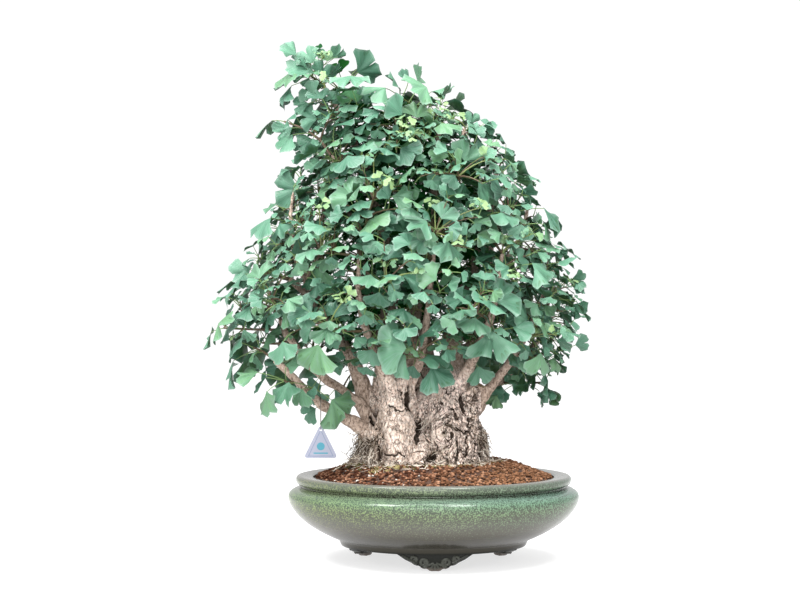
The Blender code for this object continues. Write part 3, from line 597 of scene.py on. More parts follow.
def segment_distance(points_x, points_z, line):
    """How far each point is from a line of (x, z) points, in millimetres."""
    best = numpy.full(points_x.shape, 1e9)
    for (x0, z0), (x1, z1) in zip(line, line[1:]):
        dx, dz = x1 - x0, z1 - z0
        share = numpy.clip(((points_x - x0) * dx + (points_z - z0) * dz) / (dx * dx + dz * dz), 0, 1)
        distance = numpy.hypot(points_x - x0 - share * dx, points_z - z0 - share * dz)
        best = numpy.minimum(best, distance)
    return best


def crown_row(height):
    """Left edge, right edge and half depth of the crown at a height, between the rows above."""
    rows = CROWN_OUTLINE
    height = min(max(height, rows[0][0]), rows[-1][0])
    for low, high in zip(rows, rows[1:]):
        if height <= high[0]:
            share = (height - low[0]) / (high[0] - low[0])
            return [a + (b - a) * share for a, b in zip(low[1:], high[1:])]
    return list(rows[-1][1:])


def shade_at(x, y, z):
    """How deep a place in millimetres lies in the crown: 0 near its outside, 1 in its middle."""
    left, right, depth = crown_row(z)
    share = math.hypot((x - (left + right) / 2) / ((right - left) / 2), y / depth)
    return min(1.0, max(0.0, (0.80 - share) / 0.36)) * min(1.0, max(0.0, (z - 250) / 60))


def add_bark(piece, smooth_turns):
    """Works bark into an even mesh: moves each vertex along its normal, and marks what lies there."""
    mesh = piece.data
    bm = bmesh.new()
    bm.from_mesh(mesh)
    for _ in range(smooth_turns):
        bmesh.ops.smooth_vert(bm, verts=bm.verts, factor=0.5,
                              use_axis_x=True, use_axis_y=True, use_axis_z=True)
    bm.normal_update()
    count = len(bm.verts)
    normals = numpy.array([vert.normal for vert in bm.verts])
    x, y, z = numpy.array([vert.co for vert in bm.verts]).T / MM
    lift, depth, crust, shade, strayed_x, strayed_z = (numpy.zeros(count) for _ in range(6))
    stump_share = numpy.clip((262 - z) / 40, 0, 1)
    for index, vert in enumerate(bm.verts):
        here = vert.co / MM
        on_stump = stump_share[index]
        shade[index] = shade_at(*here)
        if on_stump > 0.01:
            stray = noise.noise_vector(here / 6)
            strayed_x[index], strayed_z[index] = stray.x * 3.6, stray.z * 3.6
            rough = 0.68 + (here.x - 5) / 80 + noise.noise(here / 30) * 0.8 - (here.z - 190) / 200
            rough = min(1.0, max(0.42, rough))
            if (here.x < -86 and here.z > 178) or (here.x > 62 and here.z > 196):
                rough = 0.08
            lump = noise.noise(here / 26) * 3.2 + noise.noise(here / 12 + Vector((7, 3, 1))) * 2.2
            warp = Vector((here.x, here.y, here.z * 0.62)) + noise.noise_vector(here / 8) * 4
            near = noise.voronoi(warp / 7)[0]
            crack = max(0.0, 1 - (near[1] - near[0]) / 0.24)
            coarse = noise.noise(here / 4.2 + Vector((1, 5, 2)))
            finer = noise.noise(here / 2.3 + Vector((8, 1, 4)))
            lift[index] += on_stump * (lump + coarse * (0.5 + 0.9 * rough) - crack * 1.7 * rough
                                       + finer * 0.9 * rough)
            patch = min(1.0, max(0.0, noise.noise(here / 15 + Vector((2, 2, 7))) * 3 + 0.4))
            depth[index] += on_stump * rough * (crack * crack * 0.8 * patch + max(0.0, -coarse - 0.3) * 0.9)
            crust[index] = on_stump * rough
        rest = 1 - on_stump
        if rest > 0.01:
            grain = noise.noise(Vector((here.x / 3.4, here.y / 3.4, here.z / 11)))
            knob = noise.noise(here / 14 + Vector((4, 4, 4)))
            lift[index] += rest * (grain * 0.45 + knob * 0.8)
            depth[index] += rest * max(0.0, -grain - 0.15) * 0.5
            crust[index] += rest * 0.12
    front = numpy.clip(-normals[:, 1] * 1.6, 0, 1) * (y < 20) * stump_share
    for line, width, deep in CLEFTS:
        pull = numpy.exp(-(segment_distance(x + strayed_x, z + strayed_z, line) / width) ** 2) * front
        lift -= pull * deep
        depth += pull ** 2 * 1.5
    hollow_shade = numpy.zeros(count)
    for line, width, deep in RECESSES:
        pull = numpy.exp(-(segment_distance(x + strayed_x, z + strayed_z, line) / width) ** 2) * front
        lift -= pull * deep
        hollow_shade = numpy.maximum(hollow_shade, pull)
    ring = numpy.hypot(x - KNOT[0], z - KNOT[1]) + strayed_x * 0.4
    on_knot = front * (y < -50)
    for radius, width, rise in KNOT_RINGS:
        band = numpy.exp(-((ring - radius) / width) ** 2) * on_knot
        lift += band * rise
        depth += band * max(0.0, -rise) * 0.2
    # The bark behind the root fibres at the low left is painted dark as the shade under them.
    fibre_shade = numpy.clip((176 - z) / 22, 0, 1) * numpy.clip((-56 - x) / 12, 0, 1) * (y < 40)
    hollow_shade = numpy.maximum(hollow_shade, fibre_shade * 0.85)
    for vert, amount, normal in zip(bm.verts, lift, normals):
        vert.co += Vector(normal) * (amount * MM)
    bm.to_mesh(mesh)
    bm.free()
    cut = numpy.zeros(count)
    for name in CUT_ENDS:
        before, end = (Vector(point[:3]) for point in STEMS[name][-2:])
        way, radius = (end - before).normalized(), STEMS[name][-1][3]
        ahead = (x - end.x) * way.x + (y - end.y) * way.y + (z - end.z) * way.z
        away = numpy.sqrt((x - end.x) ** 2 + (y - end.y) ** 2 + (z - end.z) ** 2)
        facing = normals @ numpy.array(way)
        cut = numpy.maximum(cut, (ahead > -1.2) * (away < radius * 1.05) * (facing > 0.55))
    # The marks: how far painted shade darkens a crack, cleft or low spot, how crusty the bark is, the painted
    # shade of the hollows, and the cut ends.
    marks = numpy.stack([numpy.clip(depth, 0, 1.5), crust, hollow_shade, cut], axis=1)
    mark_points(mesh, "bark_mark", marks, "FLOAT_COLOR")
    mark_points(mesh, "crown_shade", shade)
    mesh.shade_smooth()


stump = copy_of("trunk", "stump")
keep_between(stump, STUMP_FOOT, STUMP_TOP)
remesh(stump, STUMP_VOXEL)
add_bark(stump, 3)
stump_tree = BVHTree.FromPolygons([vertex.co for vertex in stump.data.vertices],
                                  [face.vertices for face in stump.data.polygons])
branches = copy_of("trunk", "branches")
keep_between(branches, STUMP_TOP - JOIN_OVERLAP, TREE_TOP)
remesh(branches, BRANCH_VOXEL)
add_bark(branches, 2)


def warped(material, vector, scale, amount):
    """A place pushed about by noise, by up to half the amount in metres."""
    cloud = material.node_tree.nodes.new("ShaderNodeTexNoise")
    cloud.inputs["Scale"].default_value = scale
    cloud.inputs["Detail"].default_value = 2.0
    push = material.node_tree.nodes.new("ShaderNodeVectorMath")
    push.operation = "MULTIPLY_ADD"
    push.inputs[1].default_value = (amount, amount, amount)
    push.inputs[2].default_value = (-amount / 2, -amount / 2, -amount / 2)
    moved = material.node_tree.nodes.new("ShaderNodeVectorMath")
    moved.operation = "ADD"
    link_nodes(material, [(vector, cloud.inputs["Vector"]), (cloud.outputs["Color"], push.inputs[0]),
                          (vector, moved.inputs[0]), (push.outputs["Vector"], moved.inputs[1])])
    return moved.outputs["Vector"]


def cracks_of(material, vector, scale, width):
    """1 on the borders in a net of cells, and 0 at a share of a cell away from them."""
    cells = material.node_tree.nodes.new("ShaderNodeTexVoronoi")
    cells.feature = "DISTANCE_TO_EDGE"
    cells.inputs["Scale"].default_value = scale
    material.node_tree.links.new(vector, cells.inputs["Vector"])
    return minus(material, 1.0, maths(material, "DIVIDE", cells.outputs["Distance"], width), clamp=True)


def drawn_out(material, vector, share):
    """A place whose heights count for less, which draws a pattern out upright."""
    node = material.node_tree.nodes.new("ShaderNodeMapping")
    node.inputs["Scale"].default_value = (1.0, 1.0, share)
    material.node_tree.links.new(vector, node.inputs["Vector"])
    return node.outputs["Vector"]


def place_from(material, **axes):
    """A place put together from single axes; one that isn't given is 0."""
    node = material.node_tree.nodes.new("ShaderNodeCombineXYZ")
    for axis, value in axes.items():
        material.node_tree.links.new(value, node.inputs[axis])
    return node.outputs["Vector"]


def colours_of(material, colour):
    node = material.node_tree.nodes.new("ShaderNodeSeparateColor")
    material.node_tree.links.new(colour, node.inputs["Color"])
    return [node.outputs[part] for part in ("Red", "Green", "Blue")]


bark = new_material("corky_bark", (0.3, 0.22, 0.16), 0.85, specular=0.08)
here, (aside, _, height) = place_in(bark)
depth, crust, hollow_shade = colours_of(bark, mark_of(bark, "bark_mark", "Color"))
broad = noise_of(bark, here, 26, 4)
fine = noise_of(bark, here, 260, 4, 0.65)
# The cracks run upright, but wind round the burl
CRACK_STRETCH = 0.58
SWIRL_REACH, SWIRL_TURN = 0.030, 3.0
knot_x, knot_z = AXIS.x + KNOT[0] * MM, KNOT[1] * MM
from_knot = bark.node_tree.nodes.new("ShaderNodeVectorMath")
from_knot.operation = "DISTANCE"
from_knot.inputs[1].default_value = (knot_x, 0, knot_z)
swirl = bark.node_tree.nodes.new("ShaderNodeVectorRotate")
swirl.rotation_type = "Y_AXIS"
swirl.inputs["Center"].default_value = (knot_x, 0, knot_z * CRACK_STRETCH)
link_nodes(bark, [(place_from(bark, X=aside, Z=height), from_knot.inputs[0])])
nearness = minus(bark, 1.0, maths(bark, "DIVIDE", from_knot.outputs["Value"], SWIRL_REACH), clamp=True)
link_nodes(bark, [(drawn_out(bark, here, CRACK_STRETCH), swirl.inputs["Vector"]),
                  (times(bark, nearness, SWIRL_TURN), swirl.inputs["Angle"])])
upright = swirl.outputs["Vector"]
net = cracks_of(bark, warped(bark, upright, 130, 0.010), 250, 0.15)
middle_net = cracks_of(bark, warped(bark, upright, 90, 0.016), 165, 0.085)
wide_net = cracks_of(bark, warped(bark, upright, 70, 0.022), 84, 0.06)
patches = fade(bark, noise_of(bark, here, 60, 3), 0.36, 0.58, low=0.15)
pits = fade(bark, noise_of(bark, drawn_out(bark, here, 0.4), 420, 2, 0.5), 0.38, 0.45, 1.0, 0.0)
rightward = plus(bark, times(bark, aside, 5.0), -0.05)
pinkness = plus(bark, rightward, times(bark, broad, 0.6), clamp=True)
pale = mixed(bark, pinkness, (0.71, 0.555, 0.45), (0.98, 0.765, 0.715))
tan = mixed(bark, fade(bark, broad, 0.35, 0.65), (0.64, 0.485, 0.385), pale)
lit_tips = mixed(bark, fade(bark, fine, 0.42, 0.62), tan, (0.92, 0.80, 0.71))
grey = mixed(bark, fade(bark, fine, 0.35, 0.7), (0.225, 0.162, 0.122), (0.56, 0.440, 0.365))
skin = mixed(bark, fade(bark, crust, 0.10, 0.28, 1.0, 0.0), lit_tips, grey)
# Painted shade: the hollows between the trunks and the bark behind the root fibres turn dark brown.
hollow_shaded = mixed(bark, times(bark, hollow_shade, 0.8), skin, (0.060, 0.038, 0.023))
strength = times(bark, patches, times(bark, crust, 1.5), clamp=True)
netted = mixed(bark, times(bark, times(bark, net, strength), 0.5), hollow_shaded, (0.075, 0.050, 0.035))
scored = mixed(bark, times(bark, middle_net, strength), netted, (0.040, 0.026, 0.018))
lined = mixed(bark, times(bark, wide_net, strength), scored, (0.028, 0.018, 0.012))
dotted = mixed(bark, times(bark, pits, 0.65), lined, (0.075, 0.050, 0.034))
# Deep cracks, clefts and low spots are painted near black: the bark's darker inside and the shade in them.
cracked = mixed(bark, times(bark, fade(bark, depth, 0.26, 0.60), 0.93), dotted, (0.022, 0.014, 0.009))
cut_wood = mixed(bark, fine, (0.27, 0.19, 0.115), (0.45, 0.36, 0.25))
ended = mixed(bark, mark_of(bark, "bark_mark", "Alpha"), cracked, cut_wood)
paint(bark, mixed(bark, times(bark, mark_of(bark, "crown_shade"), 0.78), ended, (0.016, 0.020, 0.009)))
relief = minus(bark, fine, times(bark, maths(bark, "MAXIMUM", middle_net, wide_net), crust))
add_bump(bark, relief, 0.0030, 0.85)
for piece in (stump, branches):
    coat_with(piece, bark)
finish_piece(stump, "bark", "trunk")
finish_piece(branches, "bark", "trunk")

# A thin dead twig stands up the front of the stump, a shoot that grew from its bark and died.
TWIG = [(-5, 229, 0.2), (-4, 237, 1.6), (-1.5, 246, 2.4), (1.5, 256, 3.4), (5, 270, 5.0)]
TWIG_RADII = [3.2, 2.4, 1.9, 1.6, 1.2]


def new_piece(name, corners, faces):
    mesh = bpy.data.meshes.new(name)
    mesh.from_pydata(corners, [], faces)
    mesh.update()
    made = bpy.data.objects.new(name, mesh)
    scene.collection.objects.link(made)
    return made


def add_tube(corners, faces, marks, path, radii, sides, mark):
    """A closed round tube along a path, one radius a point."""
    first = len(corners)
    reference = Vector((0.3, 0.2, 1)).normalized()
    for here, (low, high) in enumerate(zip([path[0], *path[:-1]], [*path[1:], path[-1]])):
        along = (high - low).normalized()
        side = along.cross(reference)
        side = side.normalized() if side.length > 0.1 else along.orthogonal().normalized()
        other = along.cross(side)
        for step in range(sides):
            angle = math.tau * step / sides
            corners.append(path[here] + (side * math.cos(angle) + other * math.sin(angle)) * radii[here])
            marks.append(mark)
    for here in range(len(path) - 1):
        for step in range(sides):
            a = first + here * sides + step
            b = first + here * sides + (step + 1) % sides
            faces.append((a, b, b + sides, a + sides))
    last = first + (len(path) - 1) * sides
    faces.append(tuple(range(first + sides - 1, first - 1, -1)))
    faces.append(tuple(range(last, last + sides)))


twig_path = []
for x, z, off in TWIG:
    hit = stump_tree.ray_cast(Vector((x, -200, z)) * MM, Vector((0, 1, 0)), 0.4)[0]
    twig_path.append(Vector((x * MM, (hit.y if hit else -0.03) - off * MM, z * MM)))
twig_marks = ([], [], [])
add_tube(*twig_marks, twig_path, [radius * MM for radius in TWIG_RADII], 8, 0)
twig = new_piece("dead_twig", twig_marks[0], twig_marks[1])
twig.data.shade_smooth()
twig.data.materials.append(bark)
finish_piece(twig, "bark")

# The soil: baked clay grains of 3 to 5 mm, mounded from the pot's lip up to the stump. The packed
# body stays under a loose top layer, in which each grain is its own small lump; a few white bits
# of pumice lie among them.
SOIL_RING = (52.0, 160.0)
GRAIN_COUNT = 7600
PUMICE_SHARE = 0.012
GRAIN_RADIUS = (1.8, 3.5)
MOUND_TOP, MOUND_FALL = 133.0, 21.0
MOUND_FLAT, MOUND_EDGE = 104, 161     # radii between which the mound falls
POT_WALL = 161.4


def soil_height(radius):
    """The soil's surface height at a radius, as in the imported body."""
    if radius < MOUND_FLAT:
        return MOUND_TOP
    return MOUND_TOP - (radius - MOUND_FLAT) / (MOUND_EDGE - MOUND_FLAT) * MOUND_FALL


trunk_surface = bmesh.new()
trunk_surface.from_mesh(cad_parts["trunk"].data)
trunk_surface.transform(Matrix.Translation(-AXIS))
trunk_tree = BVHTree.FromBMesh(trunk_surface)
trunk_surface.free()

bpy.ops.mesh.primitive_ico_sphere_add(subdivisions=1, radius=1)
grain = bpy.context.object
grain_corners = numpy.array([vertex.co for vertex in grain.data.vertices])
grain_faces = [tuple(face.vertices) for face in grain.data.polygons]
bpy.data.objects.remove(grain)
rng = random.Random(3)
corners, faces, tones, lows = [], [], [], []
while len(tones) < GRAIN_COUNT * len(grain_corners):
    angle = rng.uniform(0, math.tau)
    radius = math.sqrt(rng.uniform(SOIL_RING[0] ** 2, SOIL_RING[1] ** 2))
    spot = Vector((radius * math.cos(angle), radius * math.sin(angle), 0))
    size = rng.uniform(*GRAIN_RADIUS)
    height = soil_height(radius) + 1.1 * noise.noise(spot / 17) + rng.uniform(-2.8, 1.5)
    if trunk_tree.ray_cast((spot + Vector((0, 0, 185))) * MM, Vector((0, 0, -1)), 0.05)[0]:
        continue
    if radius + size > POT_WALL:
        continue
    lump = Matrix.Rotation(rng.uniform(0, math.tau), 3, (rng.uniform(-1, 1), rng.uniform(-1, 1), 0.5))
    shape = Matrix.Diagonal((size, size * rng.uniform(0.65, 0.95), size * rng.uniform(0.55, 0.9)))
    points = grain_corners @ numpy.array(lump @ shape).T + numpy.array((spot.x, spot.y, height))
    first = len(corners)
    corners.extend(map(tuple, points * MM))
    faces.extend(tuple(index + first for index in face) for face in grain_faces)
    tone = 1.0 if rng.random() < PUMICE_SHARE else rng.uniform(0, 0.8)
    tones.extend([tone] * len(points))
    lows.extend((points[:, 2].max() - points[:, 2]) / numpy.ptp(points[:, 2]))
soil_top = new_piece("soil_grains", corners, faces)
mark_points(soil_top.data, "grain_tone", tones)
mark_points(soil_top.data, "grain_low", lows)

clay = new_material("baked_clay_grains", (0.3, 0.12, 0.06), 0.95, specular=0.06)
here, (aside, back, _) = place_in(clay)
grain_colour = ramp(clay, mark_of(clay, "grain_tone"), [
    (0.0, (0.026, 0.010, 0.006)), (0.25, (0.074, 0.027, 0.014)), (0.55, (0.18, 0.080, 0.045)),
    (0.8, (0.36, 0.20, 0.125)), (0.92, (0.55, 0.52, 0.47)),
])
to_front_right = minus(clay, plus(clay, aside, times(clay, back, -0.6)), 0.09)
light_patch = times(clay, to_front_right, 9.0, clamp=True)
lighter = mixed(clay, times(clay, light_patch, 0.3), grain_colour, (0.36, 0.19, 0.095))
dusty = mixed(clay, times(clay, noise_of(clay, here, 900, 2), 0.3), lighter, (0.04, 0.017, 0.010))
# Each grain is painted darker towards its underside: painted shade.
underside_shade = fade(clay, mark_of(clay, "grain_low"), 0.2, 0.7, high=0.95)
paint(clay, mixed(clay, underside_shade, dusty, (0.012, 0.006, 0.004)))
add_bump(clay, noise_of(clay, here, 1400, 2), 0.0004, 0.7)
coat_with(soil_top, clay)
finish_piece(soil_top, "soil")
# The packed body under the grains is painted near black: the soil's own dark brown and the shade in the gaps
# between the grains.
packed = new_material("packed_soil_and_shade", (0.03, 0.013, 0.008), 0.95)
here, _ = place_in(packed)
paint(packed, mixed(packed, noise_of(packed, here, 260, 3), (0.016, 0.007, 0.004), (0.07, 0.03, 0.016)))
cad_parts["soil"].data.materials[0] = packed

# Root fibres and moss: dry, straw-like rootlets lie on the stump's flare, thickest at its left and right
# edges and round its foot, and moss and litter hide where the stump meets the soil. Each rootlet is a
# thin round strand that follows the bark; each tuft of moss is a few short blades.
FIBRE_PATCHES = [                   # angles from the front, heights, count, lengths, wildness
    ((-104, -44), (128, 176), 540, (14, 42), 1.0),
    ((-112, -70), (128, 158), 130, (24, 50), 1.5),
    ((-44, 12), (127, 142), 150, (8, 24), 0.7),
    ((-4, 26), (150, 194), 80, (8, 20), 0.5),
    ((66, 112), (128, 180), 260, (10, 30), 0.9),
    ((12, 70), (127, 143), 140, (8, 22), 0.6),
    ((112, 256), (127, 146), 260, (10, 28), 0.8),
    ((150, 190), (128, 176), 110, (12, 34), 0.9),
]
STUMP_MIDDLE = Vector((-10, 0, 0))
FIBRE_STEPS = 6
MOSS_TUFTS = 720
MOSS_PATCHES = (-31, 24)          # angles where the moss is fullest and yellowest
MOSS_BLADES = 7
LITTER_COUNT = 620


def on_stump_at(angle, height):
    """The bark's surface and its normal, seen from outside at an angle and a height, in metres."""
    way = Vector((math.sin(angle), -math.cos(angle), 0))
    start = (STUMP_MIDDLE + Vector((0, 0, height))) * MM + way * 0.2
    return stump_tree.ray_cast(start, -way, 0.25)[:2]


def fibre_path(rng, hit, normal, length, wild):
    """A strand that wanders over the bark from one spot, and stands off it more towards its end."""
    around = Vector((0, 0, 1)).cross(normal).normalized()
    heading = around * rng.uniform(-1, 1) + Vector((0, 0, rng.uniform(-1, 0.15)))
    point, path = hit + normal * 0.5 * MM, []
    for step in range(FIBRE_STEPS):
        path.append(point)
        stray = Vector([rng.uniform(-1, 1) for _ in range(3)])
        heading = (heading.normalized() + stray * 0.5 * wild + Vector((0, 0, -0.12))).normalized()
        point = point + heading * length / (FIBRE_STEPS - 1)
        near, facing, _, _ = stump_tree.find_nearest(point)
        off = (point - near).dot(facing)
        least, most = 0.7 * MM, (1.5 + 2.8 * wild * step) * MM
        point = near + facing * min(max(off, least), most)
        ground = soil_height(math.hypot(point.x, point.y) / MM) * MM
        point.z = max(point.z, ground + 1.2 * MM)
    return path


fibres = ([], [], [])
rng = random.Random(21)
for (first_angle, last_angle), heights, count, lengths, wild in FIBRE_PATCHES:
    for _ in range(count):
        angle = math.radians(rng.uniform(first_angle, last_angle))
        height = heights[0] + (heights[1] - heights[0]) * rng.random() ** 1.4
        hit, normal = on_stump_at(angle, height)
        if hit is None:
            continue
        path = fibre_path(rng, hit, normal, rng.uniform(*lengths) * MM, wild)
        width = rng.uniform(0.40, 0.85) * MM
        tone = rng.random()
        add_tube(*fibres, path, numpy.linspace(width, width * 0.5, len(path)), 3, tone)
for _ in range(LITTER_COUNT):
    angle = math.radians(rng.uniform(-180, 180))
    hit, normal = on_stump_at(angle, 136)
    if hit is None:
        continue
    spot = hit + Vector((normal.x, normal.y, 0)).normalized() * rng.random() ** 1.5 * 26 * MM
    way = rng.uniform(0, math.tau)
    path = []
    for step in (-0.5, 0.0, 0.5):
        reach = step * rng.uniform(7, 17)
        point = spot + Vector((math.cos(way) * reach, math.sin(way) * reach, 0)) * MM
        point.z = (soil_height(math.hypot(point.x, point.y) / MM) + rng.uniform(1.2, 3.6)) * MM
        path.append(point)
    width = rng.uniform(0.4, 0.8) * MM
    add_tube(*fibres, path, [width * 0.6, width, width * 0.5], 3, rng.random())
root_fibres = new_piece("root_fibres", fibres[0], fibres[1])
mark_points(root_fibres.data, "strand_tone", fibres[2])
root_fibres.data.shade_smooth()

straw = new_material("dry_rootlets", (0.4, 0.32, 0.22), 0.8, specular=0.15)
here, _ = place_in(straw)
strand = ramp(straw, mark_of(straw, "strand_tone"), [
    (0.0, (0.028, 0.018, 0.012)), (0.32, (0.09, 0.062, 0.042)), (0.55, (0.52, 0.43, 0.34)),
    (1.0, (0.88, 0.80, 0.70)),
])
paint(straw, mixed(straw, times(straw, noise_of(straw, here, 300, 2), 0.3), strand, (0.10, 0.07, 0.045)))
coat_with(root_fibres, straw)
finish_piece(root_fibres, "bark")

moss_marks = ([], [], [])
for _ in range(MOSS_TUFTS):
    angle = math.radians(rng.uniform(-180, 180))
    hit, normal = on_stump_at(angle, 135)
    patchy = noise.noise(Vector((math.sin(angle), math.cos(angle), 0)) * 3.2)
    lush = any(abs(math.degrees(angle) - middle) < 11 for middle in MOSS_PATCHES)
    if hit is None or (patchy < rng.uniform(-0.5, 0.1) and not lush):
        continue
    out = Vector((normal.x, normal.y, 0)).normalized()
    spot = hit + out * rng.random() ** 1.3 * 20 * MM
    spot.z = soil_height(math.hypot(spot.x, spot.y) / MM) * MM
    tone = rng.uniform(0.65, 1.0) if lush else rng.random()
    for _ in range(MOSS_BLADES + 4 * lush):
        foot = spot + Vector((rng.uniform(-2.6, 2.6), rng.uniform(-2.6, 2.6), 0)) * MM
        lean = Vector((rng.uniform(-1, 1), rng.uniform(-1, 1), rng.uniform(0.5, 1.6))).normalized()
        reach = rng.uniform(2.2, 5.0) * MM
        path = [foot, foot + lean * reach * 0.6, foot + (lean + Vector((0, 0, -0.25))) * reach]
        blade_tone = min(1.0, tone * 0.8 + rng.uniform(0, 0.2))
        add_tube(*moss_marks, path, [0.7 * MM, 0.5 * MM, 0.15 * MM], 3, blade_tone)
moss = new_piece("moss_tufts", moss_marks[0], moss_marks[1])
mark_points(moss.data, "strand_tone", moss_marks[2])
moss_green = new_material("yellow_green_moss", (0.2, 0.22, 0.06), 0.9, specular=0.1)
here, _ = place_in(moss_green)
blade_colour = ramp(moss_green, mark_of(moss_green, "strand_tone"), [
    (0.0, (0.022, 0.022, 0.010)), (0.35, (0.10, 0.095, 0.035)), (0.7, (0.30, 0.25, 0.095)),
    (1.0, (0.55, 0.46, 0.24)),
])
browning = times(moss_green, noise_of(moss_green, here, 200, 2), 0.5)
paint(moss_green, mixed(moss_green, browning, blade_colour, (0.06, 0.06, 0.02)))
coat_with(moss, moss_green)
finish_piece(moss, "soil")

# The crown: fan-shaped leaves on thin petioles, along green shoots that grow from the branches. A
# shoot grew as one piece with its leaves, so each packed spray has one finer piece in its place:
# the same stem and leaves, worked out again by the same rules and the same random draws.
SEED = 11
GAP = 0.3                     # between pieces that touch
WELD_DISTANCE = 0.05
SPRAY_COUNT = 40
SPRAY_INSET = 40.0            # how far inside the crown's outline a spray's tip lies
LOWEST_TIP = 258.0
HIGHEST_TIP = 640.0
GOLDEN_ANGLE = math.radians(137.508)
OUTLYING_SPRAYS = [           # tip and number of leaves
    ((-164, -8, 652), 6), ((-112, -14, 644), 4), ((-280, -34, 314), 6), ((-240, -40, 288), 5),
    ((-198, -72, 246), 4), ((-158, -78, 236), 5), ((150, 12, 240), 4), ((-200, -26, 590), 4),
]
FRONT_LEAVES = 7
BACK_LEAVES = 4
FRONT_LIMIT = 20.0            # the y up to which a tip is at the front
LEAN_FROM = 430.0             # the height from which the crown faces more and more upward
LEAN_SPAN = 260.0
LEAST_LEAN = 0.15
MOST_LEAN = 0.9
THIN_STEM = 9.5               # sprays grow from wood thinner than this
LOWEST_SPRAY = 200.0
SAMPLES_A_SPAN = 4
STEM_RADII = (2.1, 1.9, 1.6, 1.3)
STEM_CLEARANCE = 2.6
SHORTEST_STEM = 20.0
LONGEST_STEM = 190.0
DROP_COST = 1.2               # how much longer a stem counts as for each millimetre that it drops
STEM_TRIES = 60
SEAT_TRIES = 12
SEAT_STEP = 0.2
STEM_BEND = (0.25, 0.2, 0.075)   # shares off the bark, towards the tip and upward
LEAF_THICKNESS = 0.8
LEAF_SIZES = (21, 25, 28, 32, 37)
SIZE_SPREAD = (0.82, 1.2)
PETIOLE_WIDTH = 1.7
PETIOLE_SHARE = (0.75, 1.15)  # of the fan's radius
PETIOLE_WAY = (0.8, 0.5, 0.35, 0.15, 0.3)   # sideways, out, along the stem, up and at random
FACE_WAY = (0.85, 0.6, 0.45)  # out, up and at random
DROOP = (0.5, 1.35)           # how far a fan hangs from its petiole's line, in radians
ARCH = (-0.12, 0.3)
WAVE = (-0.1, 0.1)
NOTCH = (0.6, 0.82)
TOP_LEAF = 0.985              # where along a stem its top leaf grows
LEAFY_LENGTH = 0.62           # the share of a stem that bears leaves
LEAF_TRIES = 26
TRY_TURN = 1.1
TRY_SHRINK = 0.017
ROOT_SHARE = 0.35             # the start of a petiole, where leaves of one spray may cross
LEAF_CLEARANCE = 0.9
LOWEST_LEAF = 205.0           # no leaf's base lies lower
FAN_HALF_ANGLE = math.radians(66)
# Corners of a plain fan: how far round, how far out, with the notch as None, and how far it waves
FAN_EDGE = ((1.0, 0.92, 0.5), (0.5, 1.0, -1.0), (0.0, None, 0.6), (-0.5, 1.0, 1.0), (-1.0, 0.92, -0.5))
LEAF_FACES = ((0, 1, 2, 8), (2, 3, 4), (2, 4, 5), (2, 5, 8), (8, 5, 6), (8, 6, 7))


def mm(x, y, z):
    return Vector((x, y, z)) * MM


def crown_tips(count, depth_share):
    """Spray tips spread evenly over the crown, by the golden angle round it and by girth up it."""
    heights = range(int(LOWEST_TIP), int(HIGHEST_TIP))
    girths = []
    for height in heights:
        left, right, depth = crown_row(height)
        girths.append((right - left) / 2 + depth - SPRAY_INSET)
    total, done, tips = sum(girths), 0.0, []
    for height, girth in zip(heights, girths):
        done += girth / total * count
        if done >= len(tips) + 0.5:
            left, right, depth = crown_row(height)
            angle = GOLDEN_ANGLE * len(tips)
            share = depth_share[len(tips) % len(depth_share)]
            half = (right - left) / 2 - SPRAY_INSET
            tips.append(mm(
                (left + right) / 2 + half * math.cos(angle) * share,
                (depth - SPRAY_INSET) * math.sin(angle) * share, height,
            ))
    return tips


def outward_at(point):
    """The way that the crown faces at a point: out from its axis, and more upward near its top."""
    left, right, depth = crown_row(point.z / MM)
    flat = Vector(((point.x / MM - (left + right) / 2) / (right - left), point.y / MM / (2 * depth), 0))
    share = max(0.0, (point.z / MM - LEAN_FROM) / LEAN_SPAN)
    lean = LEAST_LEAN + (MOST_LEAN - LEAST_LEAN) * share
    return (flat.normalized() + Vector((0, 0, lean))).normalized()


def stem_samples():
    """Points on the thin part of every stem, as (centre, radius), where a spray can grow."""
    samples = []
    for points in STEMS.values():
        for first, second in zip(points, points[1:]):
            for step in range(SAMPLES_A_SPAN):
                share = step / SAMPLES_A_SPAN
                x, y, z, radius = [a + (b - a) * share for a, b in zip(first, second)]
                if radius < THIN_STEM and z > LOWEST_SPRAY:
                    samples.append((mm(x, y, z), radius * MM))
        samples.append((mm(*points[-1][:3]), points[-1][3] * MM))
    return samples


def bezier(start, bend, end, count):
    return [
        start * (1 - t) ** 2 + bend * 2 * t * (1 - t) + end * t * t
        for t in (step / count for step in range(count + 1))
    ]


def tube_polygons(path, radius, sides=8):
    """Corners and faces of a plain tube along a path, for testing what it runs into."""
    corners, faces = [], []
    for here, (low, high) in enumerate(zip([path[0], *path[:-1]], [*path[1:], path[-1]])):
        along = (high - low).normalized()
        side = along.orthogonal().normalized()
        other = along.cross(side)
        for step in range(sides):
            angle = math.tau * step / sides
            corners.append(path[here] + (side * math.cos(angle) + other * math.sin(angle)) * radius)
    for here in range(len(path) - 1):
        for step in range(sides):
            a, b = here * sides + step, here * sides + (step + 1) % sides
            faces.append((a, b, b + sides, a + sides))
    return corners, faces


def reach_of(corners):
    """The middle of some corners and how far the furthest is from it."""
    middle = sum(corners, Vector()) / len(corners)
    return middle, max((corner - middle).length for corner in corners)


